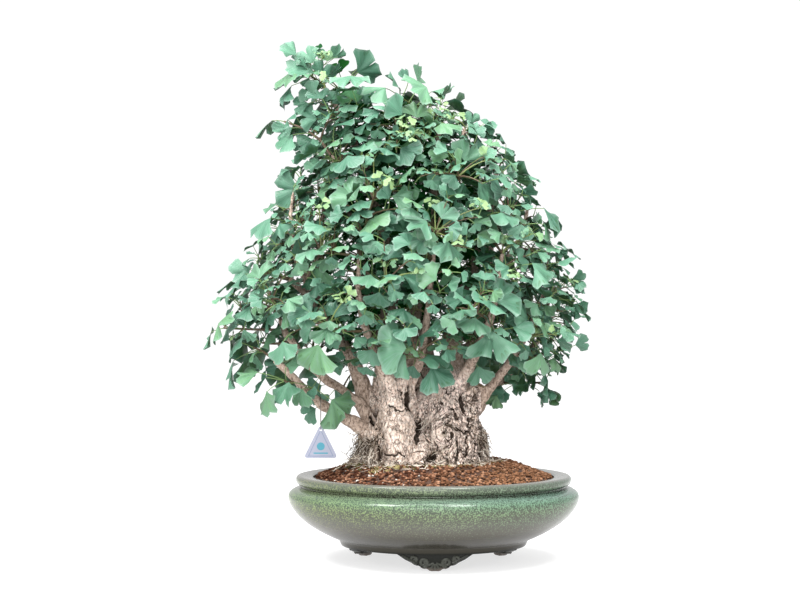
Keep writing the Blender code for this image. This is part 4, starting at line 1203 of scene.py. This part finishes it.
class Obstacles:
    """Everything already in place, each with its owner, which a new stem or leaf keeps clear of."""

    CELL = 50 * MM

    def __init__(self, names):
        self.trees = []
        self.cells = {}
        for name in names:
            bm = bmesh.new()
            bm.from_mesh(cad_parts[name].data)
            bm.transform(Matrix.Translation(-AXIS))
            self.keep(name, BVHTree.FromBMesh(bm), *reach_of([vert.co for vert in bm.verts]))
            bm.free()

    def cells_near(self, middle, reach):
        spans = [
            range(int((place - reach) // self.CELL), int((place + reach) // self.CELL) + 1)
            for place in middle
        ]
        return [(i, j, k) for i in spans[0] for j in spans[1] for k in spans[2]]

    def keep(self, owner, tree, middle, reach):
        for cell in self.cells_near(middle, reach):
            self.cells.setdefault(cell, []).append(len(self.trees))
        self.trees.append((owner, tree, middle, reach))

    def add(self, owner, corners, faces):
        self.keep(owner, BVHTree.FromPolygons(corners, faces), *reach_of(corners))

    def of(self, owner):
        return next(tree for name, tree, _, _ in self.trees if name == owner)

    def meets(self, corners, faces, apart_from=None):
        tree = BVHTree.FromPolygons(corners, faces)
        middle, reach = reach_of(corners)
        near = {index for cell in self.cells_near(middle, reach) for index in self.cells.get(cell, ())}
        for index in near:
            name, other, there, size = self.trees[index]
            if name != apart_from and (middle - there).length < reach + size and tree.overlap(other):
                return True
        return False


def bark_hit(bark_tree, path, radius):
    return bool(BVHTree.FromPolygons(*tube_polygons(path, radius * MM)).overlap(bark_tree))


def find_stem(tip, samples, obstacles):
    """The shortest clear stem from just off the bark to a spray's tip, as a path, or None."""
    def cost(sample):
        reach = tip - sample[0]
        return reach.length + DROP_COST * max(0.0, -reach.z)

    bark_tree = obstacles.of("trunk")
    for centre, radius in sorted(samples, key=cost)[:STEM_TRIES]:
        reach = tip - centre
        if not SHORTEST_STEM * MM < reach.length < LONGEST_STEM * MM:
            continue
        away = reach.normalized()
        seat, normal, _, _ = bark_tree.find_nearest(centre + away * (radius + MM))
        off_bark, to_tip, upward = STEM_BEND
        bend = (normal * off_bark + away * to_tip + Vector((0, 0, upward))) * reach.length
        for lift in range(SEAT_TRIES):
            start = seat + normal * (GAP + SEAT_STEP * lift) * MM
            path = bezier(start, start + bend, tip, len(STEM_RADII) - 1)
            if bark_hit(bark_tree, path, STEM_RADII[0] + WELD_DISTANCE):
                continue
            if bark_hit(bark_tree, path[1:], STEM_CLEARANCE):
                break
            if not obstacles.meets(*tube_polygons(path, STEM_CLEARANCE * MM), apart_from="trunk"):
                return path
            break
    return None


def leaf_polygons(leaf, thickness, start=0.0):
    """Corners and faces of a plain leaf: a flat petiole from root to base, and a notched, waved fan."""
    root, base, radius = leaf["root"].lerp(leaf["base"], start), leaf["base"], leaf["radius"]
    across, along, up = leaf["across"], leaf["along"], leaf["up"]
    half = across * PETIOLE_WIDTH / 2 * MM
    petiole_up = across.cross((leaf["base"] - leaf["root"]).normalized())
    mitre = petiole_up + up
    mitre *= 2 / mitre.length_squared
    outline = [(root - half, petiole_up), (root + half, petiole_up), (base + half, mitre)]
    for turn, share, wave in FAN_EDGE:
        share = leaf["notch"] if share is None else share
        side = math.sin(turn * FAN_HALF_ANGLE) * share * radius
        ahead = math.cos(turn * FAN_HALF_ANGLE) * share * radius
        drop = leaf["arch"] * (side * side + 0.5 * ahead * ahead) / radius + leaf["wave"] * wave * radius
        outline.append((base + across * side + along * ahead - up * drop, up))
    outline.append((base - half, mitre))
    count = len(outline)
    corners = [corner + lift * thickness / 2 * MM for corner, lift in outline]
    corners += [corner - lift * thickness / 2 * MM for corner, lift in outline]
    faces = [tuple(face) for face in LEAF_FACES]
    faces += [tuple(index + count for index in reversed(face)) for face in LEAF_FACES]
    for here in range(count):
        after = (here + 1) % count
        faces.append((after, here, here + count, after + count))
    return corners, faces


def weighted(weights, ways):
    return sum((way * weight for weight, way in zip(weights, ways)), Vector()).normalized()


def draw_leaf(rng, root, stem_way, spread, size, face_way=FACE_WAY, droop=DROOP):
    """One try at a leaf: its petiole leaves the stem sideways, and its fan faces out and hangs."""
    out, upward = outward_at(root), Vector((0, 0, 1))
    jitter, tilt = (Vector([rng.uniform(-1, 1) for _ in range(3)]) for _ in range(2))
    petiole = weighted(PETIOLE_WAY, (spread, out, stem_way, upward, jitter))
    radius = size * rng.uniform(*SIZE_SPREAD)
    across = petiole.cross(weighted(face_way, (out, upward, tilt))).normalized()
    along = Matrix.Rotation(-rng.uniform(*droop), 3, across) @ petiole
    return {
        "root": root, "base": root + petiole * radius * rng.uniform(*PETIOLE_SHARE),
        "across": across, "along": along, "up": across.cross(along), "radius": radius,
        "arch": rng.uniform(*ARCH), "wave": rng.uniform(*WAVE), "notch": rng.uniform(*NOTCH),
    }


def place_leaf(rng, spray, share, turn, size, obstacles, tries=LEAF_TRIES, habit=(FACE_WAY, DROOP)):
    """Draws leaves at one place on a stem until one is clear of the rest. Returns it, or None."""
    path = spray["path"]
    here = min(int(share * (len(path) - 1)), len(path) - 2)
    root = path[here].lerp(path[here + 1], share * (len(path) - 1) - here)
    stem_way = (path[here + 1] - path[here]).normalized()
    side = stem_way.orthogonal().normalized()
    for attempt in range(tries):
        angle = turn + attempt * TRY_TURN
        spread = side * math.cos(angle) + stem_way.cross(side) * math.sin(angle)
        leaf = draw_leaf(rng, root, stem_way, spread, size * (1 - TRY_SHRINK * attempt), *habit)
        if leaf["base"].z < LOWEST_LEAF * MM:
            continue
        thick = LEAF_THICKNESS + 2 * LEAF_CLEARANCE
        whole = leaf_polygons(leaf, thick)
        if obstacles.meets(*whole, apart_from=spray["name"]):
            continue
        blade = leaf_polygons(leaf, thick, start=ROOT_SHARE)
        if not any(BVHTree.FromPolygons(*blade).overlap(other) for other in spray["blades"]):
            spray["blades"].append(BVHTree.FromPolygons(*blade))
            obstacles.add(spray["name"], *whole)
            return leaf
    return None


obstacles = Obstacles(["pot", "soil", "trunk", "tag_wire", "tag_plate"])
samples = stem_samples()
wanted = [(mm(*tip), count) for tip, count in OUTLYING_SPRAYS]
for tip in crown_tips(SPRAY_COUNT, (1.0,)):
    wanted.append((tip, FRONT_LEAVES if tip.y < FRONT_LIMIT * MM else BACK_LEAVES))
sprays = []
for tip, count in wanted:
    path = find_stem(tip, samples, obstacles)
    if path is None:
        continue
    name = f"leaf_spray_{len(sprays) + 1:02d}"
    obstacles.add(name, *tube_polygons(path, STEM_CLEARANCE * MM))
    sprays.append({"name": name, "path": path, "count": count, "leaves": [], "blades": []})
for turn_number in range(max(spray["count"] for spray in sprays)):
    for number, spray in enumerate(sprays):
        if turn_number >= spray["count"]:
            continue
        rng = random.Random(f"{SEED} {number} {turn_number}")
        share = TOP_LEAF - LEAFY_LENGTH * turn_number / spray["count"]
        size = rng.choice(LEAF_SIZES) * MM
        leaf = place_leaf(rng, spray, share, GOLDEN_ANGLE * (turn_number + number), size, obstacles)
        if leaf:
            spray["leaves"].append(leaf)

# One finished fan: columns from edge to edge (turn, how far the margin stands) and two or three rings
# from the petiole out, the outer one scalloped
FAN_COLUMNS = [-1.0, -0.91, -0.79, -0.66, -0.53, -0.39, -0.24, -0.08, 0.0,
               0.08, 0.24, 0.39, 0.53, 0.66, 0.79, 0.91, 1.0]
FAN_MARGIN = [0.87, 0.955, 1.0, 0.985, 1.015, 0.99, 0.98, 0.88, None,
              0.88, 0.98, 0.99, 1.015, 0.985, 1.0, 0.955, 0.87]
FAN_RINGS = [0.62, 1.0]
BIG_FAN_RINGS = [0.36, 0.70, 1.0]
BIG_FAN = 20.0                # the radius from which a fan has a third ring
SMALL_FAN = 12.5              # the radius below which it has half the columns
BLADE_HALF = 0.28             # half a blade's thickness in millimetres
STEM_STEP = 12.0              # between the rings of a stem
PETIOLE_MARK, STEM_MARK = -0.4, -1.0      # marked in place of a fan's ring
WAVE_AT = ([-1.0, -0.5, 0.0, 0.5, 1.0], [-0.5, 1.0, 0.6, -1.0, 0.5])


def add_fan(corners, faces, marks, leaf, rng, tone, shade):
    """A blade as two skins that meet at its edge, with its petiole."""
    radius, base = leaf["radius"], leaf["base"]
    across, along, up = leaf["across"], leaf["along"], leaf["up"]
    fold, curl = rng.uniform(-0.16, 0.3), rng.uniform(-0.08, 0.2)
    ripple, phase, pace = rng.uniform(0.05, 0.15), rng.uniform(0, math.tau), rng.uniform(6.5, 12.5)
    opening = FAN_HALF_ANGLE * rng.uniform(0.86, 1.12)
    notch = leaf["notch"] * rng.uniform(0.85, 1.08)
    scallops = [rng.uniform(-0.075, 0.055) for _ in FAN_COLUMNS]
    small = radius < SMALL_FAN * MM
    chosen_columns = list(zip(FAN_COLUMNS, FAN_MARGIN, scallops))[::2 if small else 1]
    rings = BIG_FAN_RINGS if radius > BIG_FAN * MM else FAN_RINGS
    skins = []
    base_index = len(corners)
    corners.append(base.copy())
    marks.append((0.5, 0.0, tone, 0, shade))
    for sign in (1, -1):
        skin = []
        for ring in rings:
            row = []
            for column, (turn, margin, scallop) in enumerate(chosen_columns):
                edge = ring == 1.0 or abs(turn) == 1.0
                if sign < 0 and edge:
                    row.append(skins[0][len(skin)][column])
                    continue
                reach = (notch if margin is None else margin) * ring * (1 + scallop * ring)
                angle = opening * turn * (0.78 + 0.22 * ring)
                side = math.sin(angle) * reach * radius
                ahead = math.cos(angle) * reach * radius
                wave = numpy.interp(turn, *WAVE_AT) * leaf["wave"] * radius * ring * ring
                drop = leaf["arch"] * (side * side + 0.5 * ahead * ahead) / radius + wave
                folded = fold * abs(side) * (1 - 0.45 * abs(side) / radius) * 0.6
                drop += folded + curl * ahead * ahead / radius
                drop += ripple * radius * math.sin(turn * pace + phase) * ring ** 2.5
                lift = 0 if edge else sign * BLADE_HALF * MM
                row.append(len(corners))
                corners.append(base + across * side + along * ahead - up * (drop - lift))
                marks.append((turn * 0.5 + 0.5, ring, tone, 0 if sign > 0 else 1, shade))
            skin.append(row)
        skins.append(skin)
    for sign, skin in zip((1, -1), skins):
        for column in range(len(chosen_columns) - 1):
            quad = [(base_index, skin[0][column + 1], skin[0][column])]
            for near, far in zip(skin, skin[1:]):
                quad.append((near[column], near[column + 1], far[column + 1], far[column]))
            faces.extend(quad if sign > 0 else [tuple(reversed(face)) for face in quad])
    root = leaf["root"]
    arch_way = (along - (base - root).normalized()) * (base - root).length * -0.12
    path = bezier(root, (root + base) / 2 + arch_way, base + along * radius * 0.05, 2 if small else 3)
    widths = [0.6 * MM, 0.5 * MM, 0.4 * MM] if small else [0.8 * MM, 0.62 * MM, 0.55 * MM, 0.45 * MM]
    add_tube(corners, faces, marks, path, widths, 3 if small else 4, (0.5, PETIOLE_MARK, tone, 0, shade))


def add_shoot(corners, faces, marks, shoot, radii, rng):
    """A round stem along its path, with its leaves; a young shoot is pale all over."""
    path, young = shoot["path"], shoot.get("young", 0.0)
    knots = max(4, int((path[-1] - path[0]).length / (STEM_STEP * MM)))
    smooth = []
    for step in range(knots + 1):
        place = step / knots * (len(path) - 1)
        here = min(int(place), len(path) - 2)
        smooth.append(path[here].lerp(path[here + 1], place - here))
    widths = numpy.interp(numpy.linspace(0, len(radii) - 1, knots + 1), range(len(radii)), radii)
    add_tube(corners, faces, marks, smooth, [width * MM for width in widths], 6,
             (0.5, STEM_MARK, young, 0, shade_at(*((path[0] + path[-1]) / 2 / MM))))
    for leaf in shoot["leaves"]:
        shade = shade_at(*((leaf["base"] + leaf["along"] * leaf["radius"] * 0.5) / MM))
        add_fan(corners, faces, marks, leaf, rng, min(1.0, rng.uniform(0, 0.78) + young), shade)


def leafy_piece(name, corners, faces, marks):
    """A piece of leaves and stems, with the marks that the leaf material reads."""
    made = new_piece(name, corners, faces)
    mesh = made.data
    bm = bmesh.new()
    bm.from_mesh(mesh)
    bmesh.ops.recalc_face_normals(bm, faces=bm.faces)
    bm.to_mesh(mesh)
    bm.free()
    marks = numpy.array(marks, dtype=numpy.float32)
    mark_points(mesh, "leaf_mark", marks[:, :4], "FLOAT_COLOR")
    mark_points(mesh, "crown_shade", marks[:, 4])
    mesh.shade_smooth()
    mesh.set_sharp_from_angle(angle=math.radians(70))
    mesh.materials.append(leaf_green)
    return made


def shoot_piece(name, shoots, radii, seed):
    """Leafy shoots as one piece."""
    rng = random.Random(seed)
    corners, faces, marks = [], [], []
    for shoot in shoots:
        add_shoot(corners, faces, marks, shoot, radii, rng)
    return leafy_piece(name, corners, faces, marks)


leaf_green = new_material("ginkgo_leaf", (0.05, 0.16, 0.09), 0.46, specular=0.2)
here, _ = place_in(leaf_green)
turn, ring, tone = colours_of(leaf_green, mark_of(leaf_green, "leaf_mark", "Color"))
under = mark_of(leaf_green, "leaf_mark", "Alpha")
inner = mark_of(leaf_green, "crown_shade")
body = ramp(leaf_green, tone, [
    (0.0, (0.022, 0.100, 0.053)), (0.25, (0.048, 0.160, 0.090)), (0.5, (0.070, 0.192, 0.106)),
    (0.76, (0.090, 0.210, 0.084)), (1.0, (0.19, 0.29, 0.085)),
])
mottle = times(leaf_green, noise_of(leaf_green, here, 70, 3), 0.4)
mottled = mixed(leaf_green, mottle, body, (0.010, 0.045, 0.022))
# The veins fan out from the petiole, so their noise is laid out by turn and ring
fan_place = place_from(leaf_green, X=times(leaf_green, turn, 44.0), Y=times(leaf_green, ring, 1.4),
                       Z=times(leaf_green, tone, 40.0))
streaks = noise_of(leaf_green, fan_place, 1.0, 3, 0.6)
veins = maths(leaf_green, "SINE", times(leaf_green, turn, 240.0), 0.0)
streaky = fade(leaf_green, streaks, 0.36, 0.66, high=0.5)
veined = mixed(leaf_green, streaky, mottled, (0.110, 0.195, 0.158))
edge = times(leaf_green, fade(leaf_green, ring, 0.88, 1.0), 0.45)
margined = mixed(leaf_green, edge, veined, (0.160, 0.225, 0.190))
# Undersides are painted a darker olive: their own duller green and painted shade.
under_shaded = mixed(leaf_green, times(leaf_green, under, 0.8), margined, (0.020, 0.062, 0.014))
stalk = maths(leaf_green, "LESS_THAN", ring, PETIOLE_MARK + 0.35)
wood = maths(leaf_green, "LESS_THAN", ring, STEM_MARK + 0.3)
with_stalk = mixed(leaf_green, stalk, under_shaded, (0.11, 0.18, 0.06))
young = times(leaf_green, tone, 1.0, clamp=True)
stem_colour = mixed(leaf_green, young, (0.085, 0.058, 0.034), (0.20, 0.28, 0.085))
with_wood = mixed(leaf_green, wood, with_stalk, stem_colour)
paint(leaf_green, mixed(leaf_green, times(leaf_green, inner, 0.94), with_wood, (0.002, 0.033, 0.003)))
lit = minus(leaf_green, 1.0, inner)
gloss = times(leaf_green, times(leaf_green, lit, lit), 0.36)
link_nodes(leaf_green, [(gloss, shader_of(leaf_green).inputs["Specular IOR Level"])])
relief = mixed(leaf_green, 0.5, streaks, times(leaf_green, veins, 0.5))
add_bump(leaf_green, relief, 0.0004, 0.4)

for number, spray in enumerate(sprays):
    piece = shoot_piece(f"shoot_{number + 1:02d}", [spray], STEM_RADII, f"fan {number}")
    finish_piece(piece, "leaf", spray["name"])

# More shoots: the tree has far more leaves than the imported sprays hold, so finer shoots fill the
# crown between them, each grown from the nearest branch or spray, with up to six smaller leaves.
# They are gathered into one piece for each part of the crown that they fill. The low left, where two
# bare branches reach out, stays open.
FILL_COUNT = 360
FILL_DEPTHS = (1.04, 0.86, 0.98, 0.7, 0.92, 0.5, 1.0, 0.8)
FILL_RADII = (1.3, 1.1, 0.9, 0.7)
FILL_SIZES = (10, 13, 15, 17, 19, 22, 26)
FILL_HABIT = ((0.7, 0.95, 0.55), (0.15, 1.15))
FILL_LEAFY = 0.6              # the share of a stem that bears leaves
FILL_DROP_COST = 0.6
NEAREST_TWIG = 14.0
FILL_PIECES = 16
SMALL_COUNT = 620
SMALL_DEPTHS = (0.97, 0.55, 0.82, 0.38, 0.9, 0.66)
SMALL_SIZES = (6, 8, 10, 12, 14)
FACE_COUNT = 190
FACE_LEAVES = 4
FACE_SIZES = (11, 13, 15, 18, 21)
FACE_HABIT = ((0.65, 0.95, 0.4), (0.5, 1.2))
FACE_LEAFY = 0.45
twigs = list(samples)
for spray in sprays:
    twigs += [(point, 1.6 * MM) for point in spray["path"][1:]]


def fill_path(tip):
    """A thin stem from the nearest wood to a tip."""
    def cost(twig):
        reach = tip - twig[0]
        return reach.length + FILL_DROP_COST * max(0.0, -reach.z)

    centre, _ = min((twig for twig in twigs if (tip - twig[0]).length > NEAREST_TWIG * MM), key=cost)
    reach = tip - centre
    bend = centre + reach * 0.45 + Vector((0, 0, 0.18)) * reach.length
    return bezier(centre, bend, tip, 5)


def in_the_open(tip):
    """Whether a place lies in the open: before the stump, at the low left or in the dip beside the top."""
    x, z = tip.x / MM, tip.z / MM
    before_stump = tip.y < 0 and -36 < x < 96 and z < 288
    low_left = (x < -118 and z < 300) or (x < -196 and z < 322)
    beside_top = (x > -128 and z > 626) or (x > -96 and z > 610)
    return before_stump or low_left or beside_top


def grow_shoot(rng, name, tip, number, leaves, leafy, sizes, tries, habit):
    """A fine shoot with small leaves where there's room for them, or None."""
    path = fill_path(tip)
    if in_the_open(tip) or bark_hit(trunk_tree, path[2:], 1.0):
        return None
    shoot = {"name": name, "path": path, "leaves": [], "blades": []}
    for turn_number in range(leaves):
        share = TOP_LEAF - leafy * turn_number / leaves
        size = rng.choice(sizes) * MM
        turn = GOLDEN_ANGLE * (turn_number + number)
        leaf = place_leaf(rng, shoot, share, turn, size, obstacles, tries, habit)
        if leaf:
            shoot["leaves"].append(leaf)
    return shoot if shoot["leaves"] else None


def fill_crown(count, depths, sizes, leaves, tries, seed):
    """Shoots spread over the crown at several depths."""
    made = []
    for number, tip in enumerate(crown_tips(count, depths)):
        rng = random.Random(f"{seed} {number}")
        tip = tip + Vector([rng.uniform(-12, 12) for _ in range(3)]) * MM
        made.append(grow_shoot(rng, f"{seed}_{number}", tip, number, leaves, FILL_LEAFY, sizes, tries,
                               FILL_HABIT))
    return [shoot for shoot in made if shoot]


def fill_face():
    """Hanging fans of middling size spread over the crown's whole outside, in front of the rest."""
    made = []
    for number, spot in enumerate(crown_tips(FACE_COUNT, (1.0,))):
        rng = random.Random(f"face {number}")
        tip = spot + outward_at(spot) * rng.uniform(14, 26) * MM
        made.append(grow_shoot(rng, f"face_{number}", tip, number, FACE_LEAVES, FACE_LEAFY, FACE_SIZES, 5,
                               FACE_HABIT))
    return [shoot for shoot in made if shoot]


def front_of_crown(x, z, share=0.97):
    """The place on the crown's face at an (x, z) seen from the front."""
    left, right, depth = crown_row(z)
    across = min(1.0, abs(x - (left + right) / 2) / ((right - left) / 2))
    return mm(x, -depth * math.sqrt(1 - across * across) * share, z)


fill_shoots = fill_crown(FILL_COUNT, FILL_DEPTHS, FILL_SIZES, 5, 6, "fill")
fill_shoots += fill_crown(SMALL_COUNT, SMALL_DEPTHS, SMALL_SIZES, 6, 4, "small")
fill_shoots += fill_face()
fill_shoots.sort(key=lambda shoot: shoot["path"][-1].z)
for number in range(FILL_PIECES):
    low_end = len(fill_shoots) * number // FILL_PIECES
    high_end = len(fill_shoots) * (number + 1) // FILL_PIECES
    share_of_shoots = fill_shoots[low_end:high_end]
    piece = shoot_piece(f"fill_shoots_{number + 1:02d}", share_of_shoots, FILL_RADII, f"fill fan {number}")
    finish_piece(piece, "leaf")

# Young shoots: short yellow-green stems with tiny half-open leaves stand out of the crown's face in
# many places, grown this season from the wood next to them.
YOUNG_SPOTS = [               # tips, as (x, z) seen from the front
    (-146, 676), (-140, 640), (-39, 577), (-41, 562), (-30, 556), (8, 611), (14, 600), (22, 590),
    (25, 421), (73, 535), (125, 436), (159, 305), (-115, 351), (60, 470), (-66, 500), (100, 380),
    (-150, 470), (-20, 385),
]
YOUNG_COUNT = 34
YOUNG_RADII = (1.1, 0.95, 0.8, 0.6)
YOUNG_SIZES = (5, 6, 7, 9, 11)
YOUNG_LEAVES = 6

young_tips = [front_of_crown(x, z) for x, z in YOUNG_SPOTS] + crown_tips(YOUNG_COUNT, (1.1, 1.16, 1.05))
young_shoots = []
for number, tip in enumerate(young_tips):
    rng = random.Random(f"young {number}")
    path = fill_path(tip)
    if bark_hit(trunk_tree, path[2:], 1.0):
        continue
    shoot = {"path": path, "leaves": [], "young": rng.uniform(0.4, 0.75)}
    for turn_number in range(YOUNG_LEAVES):
        root = path[-2].lerp(path[-1], 0.2 + 0.8 * turn_number / YOUNG_LEAVES)
        angle = GOLDEN_ANGLE * turn_number + number
        spread = Vector((math.cos(angle), math.sin(angle), 0.6))
        size = rng.choice(YOUNG_SIZES) * MM
        shoot["leaves"].append(draw_leaf(rng, root, (path[-1] - path[-2]).normalized(), spread, size))
    young_shoots.append(shoot)
piece = shoot_piece("young_shoots", young_shoots, YOUNG_RADII, "young fans")
finish_piece(piece, "leaf")

# The spire's leaves: upright fans at the crown's top left, single fans along the crown's edge, and one
# very large leaf that hangs over the stump. Each is placed by itself, and hangs by its petiole from the
# nearest wood.
SPIRE_STEM = [(-146, -8, 636), (-151, -11, 649), (-155, -14, 662), (-154, -16, 674)]
CHOSEN_LEAVES = [             # base, way it points (0 is right, 90 up), radius, turn, tone
    ((-103, -20, 656), 26, 34, 30, 0.1), ((-160, -18, 656), 149, 41, 62, 0.3),
    ((-152, -20, 647), 66, 26, 30, 0.2), ((-162, -22, 669), 120, 24, 20, 0.35),
    ((-155, -18, 677), 85, 13, 10, 0.5), ((-142, -22, 671), 92, 16, 10, 0.8),
    ((-134, -20, 675), 45, 20, 50, 0.4), ((-184, -22, 679), 133, 25, 66, 0.3),
    ((-180, -20, 651), 188, 11, 20, 0.3), ((-158, -24, 623), 140, 24, 12, 0.35),
    ((-167, -26, 614), 184, 22, 40, 0.3), ((-156, -28, 593), 170, 24, 30, 0.25),
    ((-99, -24, 614), 115, 22, 10, 0.3), ((-93, -24, 613), 60, 23, 20, 0.15),
    ((-137, -26, 617), 130, 13, 5, 0.3), ((-136, -26, 614), 45, 18, 15, 0.35),
    ((-142, -20, 652), 30, 24, 68, 0.25), ((-170, -22, 660), 110, 20, 70, 0.3),
    ((72, -124, 312), -86, 46, 0, 0.45), ((-246, -12, 394), 200, 30, 40, 0.3),
    ((-180, -14, 500), 180, 35, 10, 0.2), ((-190, -14, 583), 205, 28, 30, 0.2),
    ((-160, -16, 566), 195, 26, 45, 0.3), ((114, -14, 498), 340, 28, 45, 0.3),
    ((49, -14, 587), 75, 18, 20, 0.4), ((59, -14, 583), 335, 26, 50, 0.3),
    ((165, -14, 297), 345, 24, 45, 0.2), ((190, -14, 291), 5, 20, 30, 0.25),
    ((186, -14, 380), 345, 19, 30, 0.3), ((187, -14, 346), 310, 23, 40, 0.35),
    ((165, -14, 420), 305, 18, 45, 0.3), ((58, -60, 264), 280, 26, 10, 0.35),
    ((75, 10, 232), 300, 24, 20, 0.2), ((92, 14, 236), 250, 24, 35, 0.15),
    ((86, 6, 222), 235, 19, 30, 0.8), ((-209, -14, 265), 190, 19, 45, 0.2),
    ((-158, -20, 206), 205, 21, 40, 0.3), ((-150, -20, 237), 200, 21, 20, 0.25),
    ((-133, -20, 232), 320, 20, 25, 0.3), ((-156, -20, 227), 290, 18, 10, 0.3),
    ((150, -14, 235), 275, 24, 60, 0.2), ((-168, -14, 650), 250, 15, 40, 0.3),
    ((-172, 0, 560), 215, 20, 20, 0.2),
]
GREAT_LEAF_TILT, LEAF_TILT = 0.75, 0.12     # how far the leaves lean to the front

chosen = []
perches = [mm(*place) for place in SPIRE_STEM] + [point for point, _ in twigs]
for (x, y, z), way, radius, turned, tone in CHOSEN_LEAVES:
    angle, radius = math.radians(way), radius * MM
    forward = GREAT_LEAF_TILT if way < 0 else LEAF_TILT
    along = Vector((math.cos(angle), -forward, math.sin(angle))).normalized()
    up = Vector((0, -1, -0.2))
    up = (up - along * up.dot(along)).normalized()
    up = Matrix.Rotation(math.radians(turned), 3, along) @ up
    base = mm(x, y, z)
    wanted = base - along * radius * 0.8
    root = min(perches, key=lambda place: (place - wanted).length)
    chosen.append(({"root": root, "base": base, "across": along.cross(up), "along": along, "up": up,
                    "radius": radius, "arch": 0.08, "wave": 0.05, "notch": 0.62}, tone))
rng = random.Random(5)
leaf_marks = ([], [], [])
add_tube(*leaf_marks, [mm(*place) for place in SPIRE_STEM], [2.4 * MM, 2.0 * MM, 1.7 * MM, 1.2 * MM], 6,
         (0.5, STEM_MARK, 0.6, 0, 0))
for leaf, tone in chosen:
    add_fan(*leaf_marks, leaf, rng, tone, 0.0)
finish_piece(leafy_piece("spire_leaves", *leaf_marks), "leaf")

# The tag: a plain pale plastic triangle on a dark wire loop round the low left branch. It carries
# no words; a thin printed line runs round its edge, and a plain dot stands over a bar.
TAG_SLOPE = math.atan2(17.5, 37.0)      # the tag's long sides, from upright
TAG_PEAK = 0.0012                       # how far above its rounded top the sides would meet
LINE_INSET = (0.0022, 0.0031)           # how far from the edge the printed line starts and ends
DOT_HEIGHT, DOT_RADIUS = 0.0155, 0.0052
BAR_HEIGHT, BAR_HALF_LENGTH, BAR_HALF_WIDTH = 0.0065, 0.0095, 0.0009
plastic = new_material("pale_lilac_plastic", (0.40, 0.42, 0.53), 0.35)
tag_low, tag_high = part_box("tag_plate")
tag_middle = (tag_low + tag_high) / 2
here, _ = place_in(plastic)
centred = plastic.node_tree.nodes.new("ShaderNodeVectorMath")
centred.operation = "SUBTRACT"
centred.inputs[1].default_value = (tag_middle.x, tag_middle.y, tag_low.z)
link_nodes(plastic, [(here, centred.inputs[0])])
across, _, height = axes_of(plastic, centred.outputs["Vector"])
aside = maths(plastic, "ABSOLUTE", across, 0.0)
under_peak = minus(plastic, tag_high.z - tag_low.z + TAG_PEAK, height)
from_side = minus(plastic, times(plastic, under_peak, math.sin(TAG_SLOPE)),
                  times(plastic, aside, math.cos(TAG_SLOPE)))
inward = maths(plastic, "MINIMUM", from_side, height)
above_dot = minus(plastic, height, DOT_HEIGHT)
from_dot = maths(plastic, "SQRT", plus(plastic, times(plastic, aside, aside),
                                       times(plastic, above_dot, above_dot)), 0.0)
dot = maths(plastic, "LESS_THAN", from_dot, DOT_RADIUS)
from_bar = maths(plastic, "ABSOLUTE", minus(plastic, height, BAR_HEIGHT), 0.0)
bar = times(plastic, maths(plastic, "LESS_THAN", aside, BAR_HALF_LENGTH),
            maths(plastic, "LESS_THAN", from_bar, BAR_HALF_WIDTH))
line = times(plastic, maths(plastic, "GREATER_THAN", inward, LINE_INSET[0]),
             maths(plastic, "LESS_THAN", inward, LINE_INSET[1]))
blank = mixed(plastic, noise_of(plastic, here, 120, 2), (0.25, 0.265, 0.345), (0.28, 0.295, 0.375))
with_line = mixed(plastic, line, blank, (0.14, 0.17, 0.27))
paint(plastic, mixed(plastic, maths(plastic, "MAXIMUM", dot, bar), with_line, (0.02, 0.22, 0.30)))
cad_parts["tag_plate"].data.materials[0] = plastic
steel = new_material("dark_wire", (0.12, 0.11, 0.10), 0.45)
shader_of(steel).inputs["Metallic"].default_value = 0.8
here, _ = place_in(steel)
paint(steel, mixed(steel, noise_of(steel, here, 300, 2), (0.08, 0.07, 0.06), (0.2, 0.18, 0.16)))
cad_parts["tag_wire"].data.materials[0] = steel
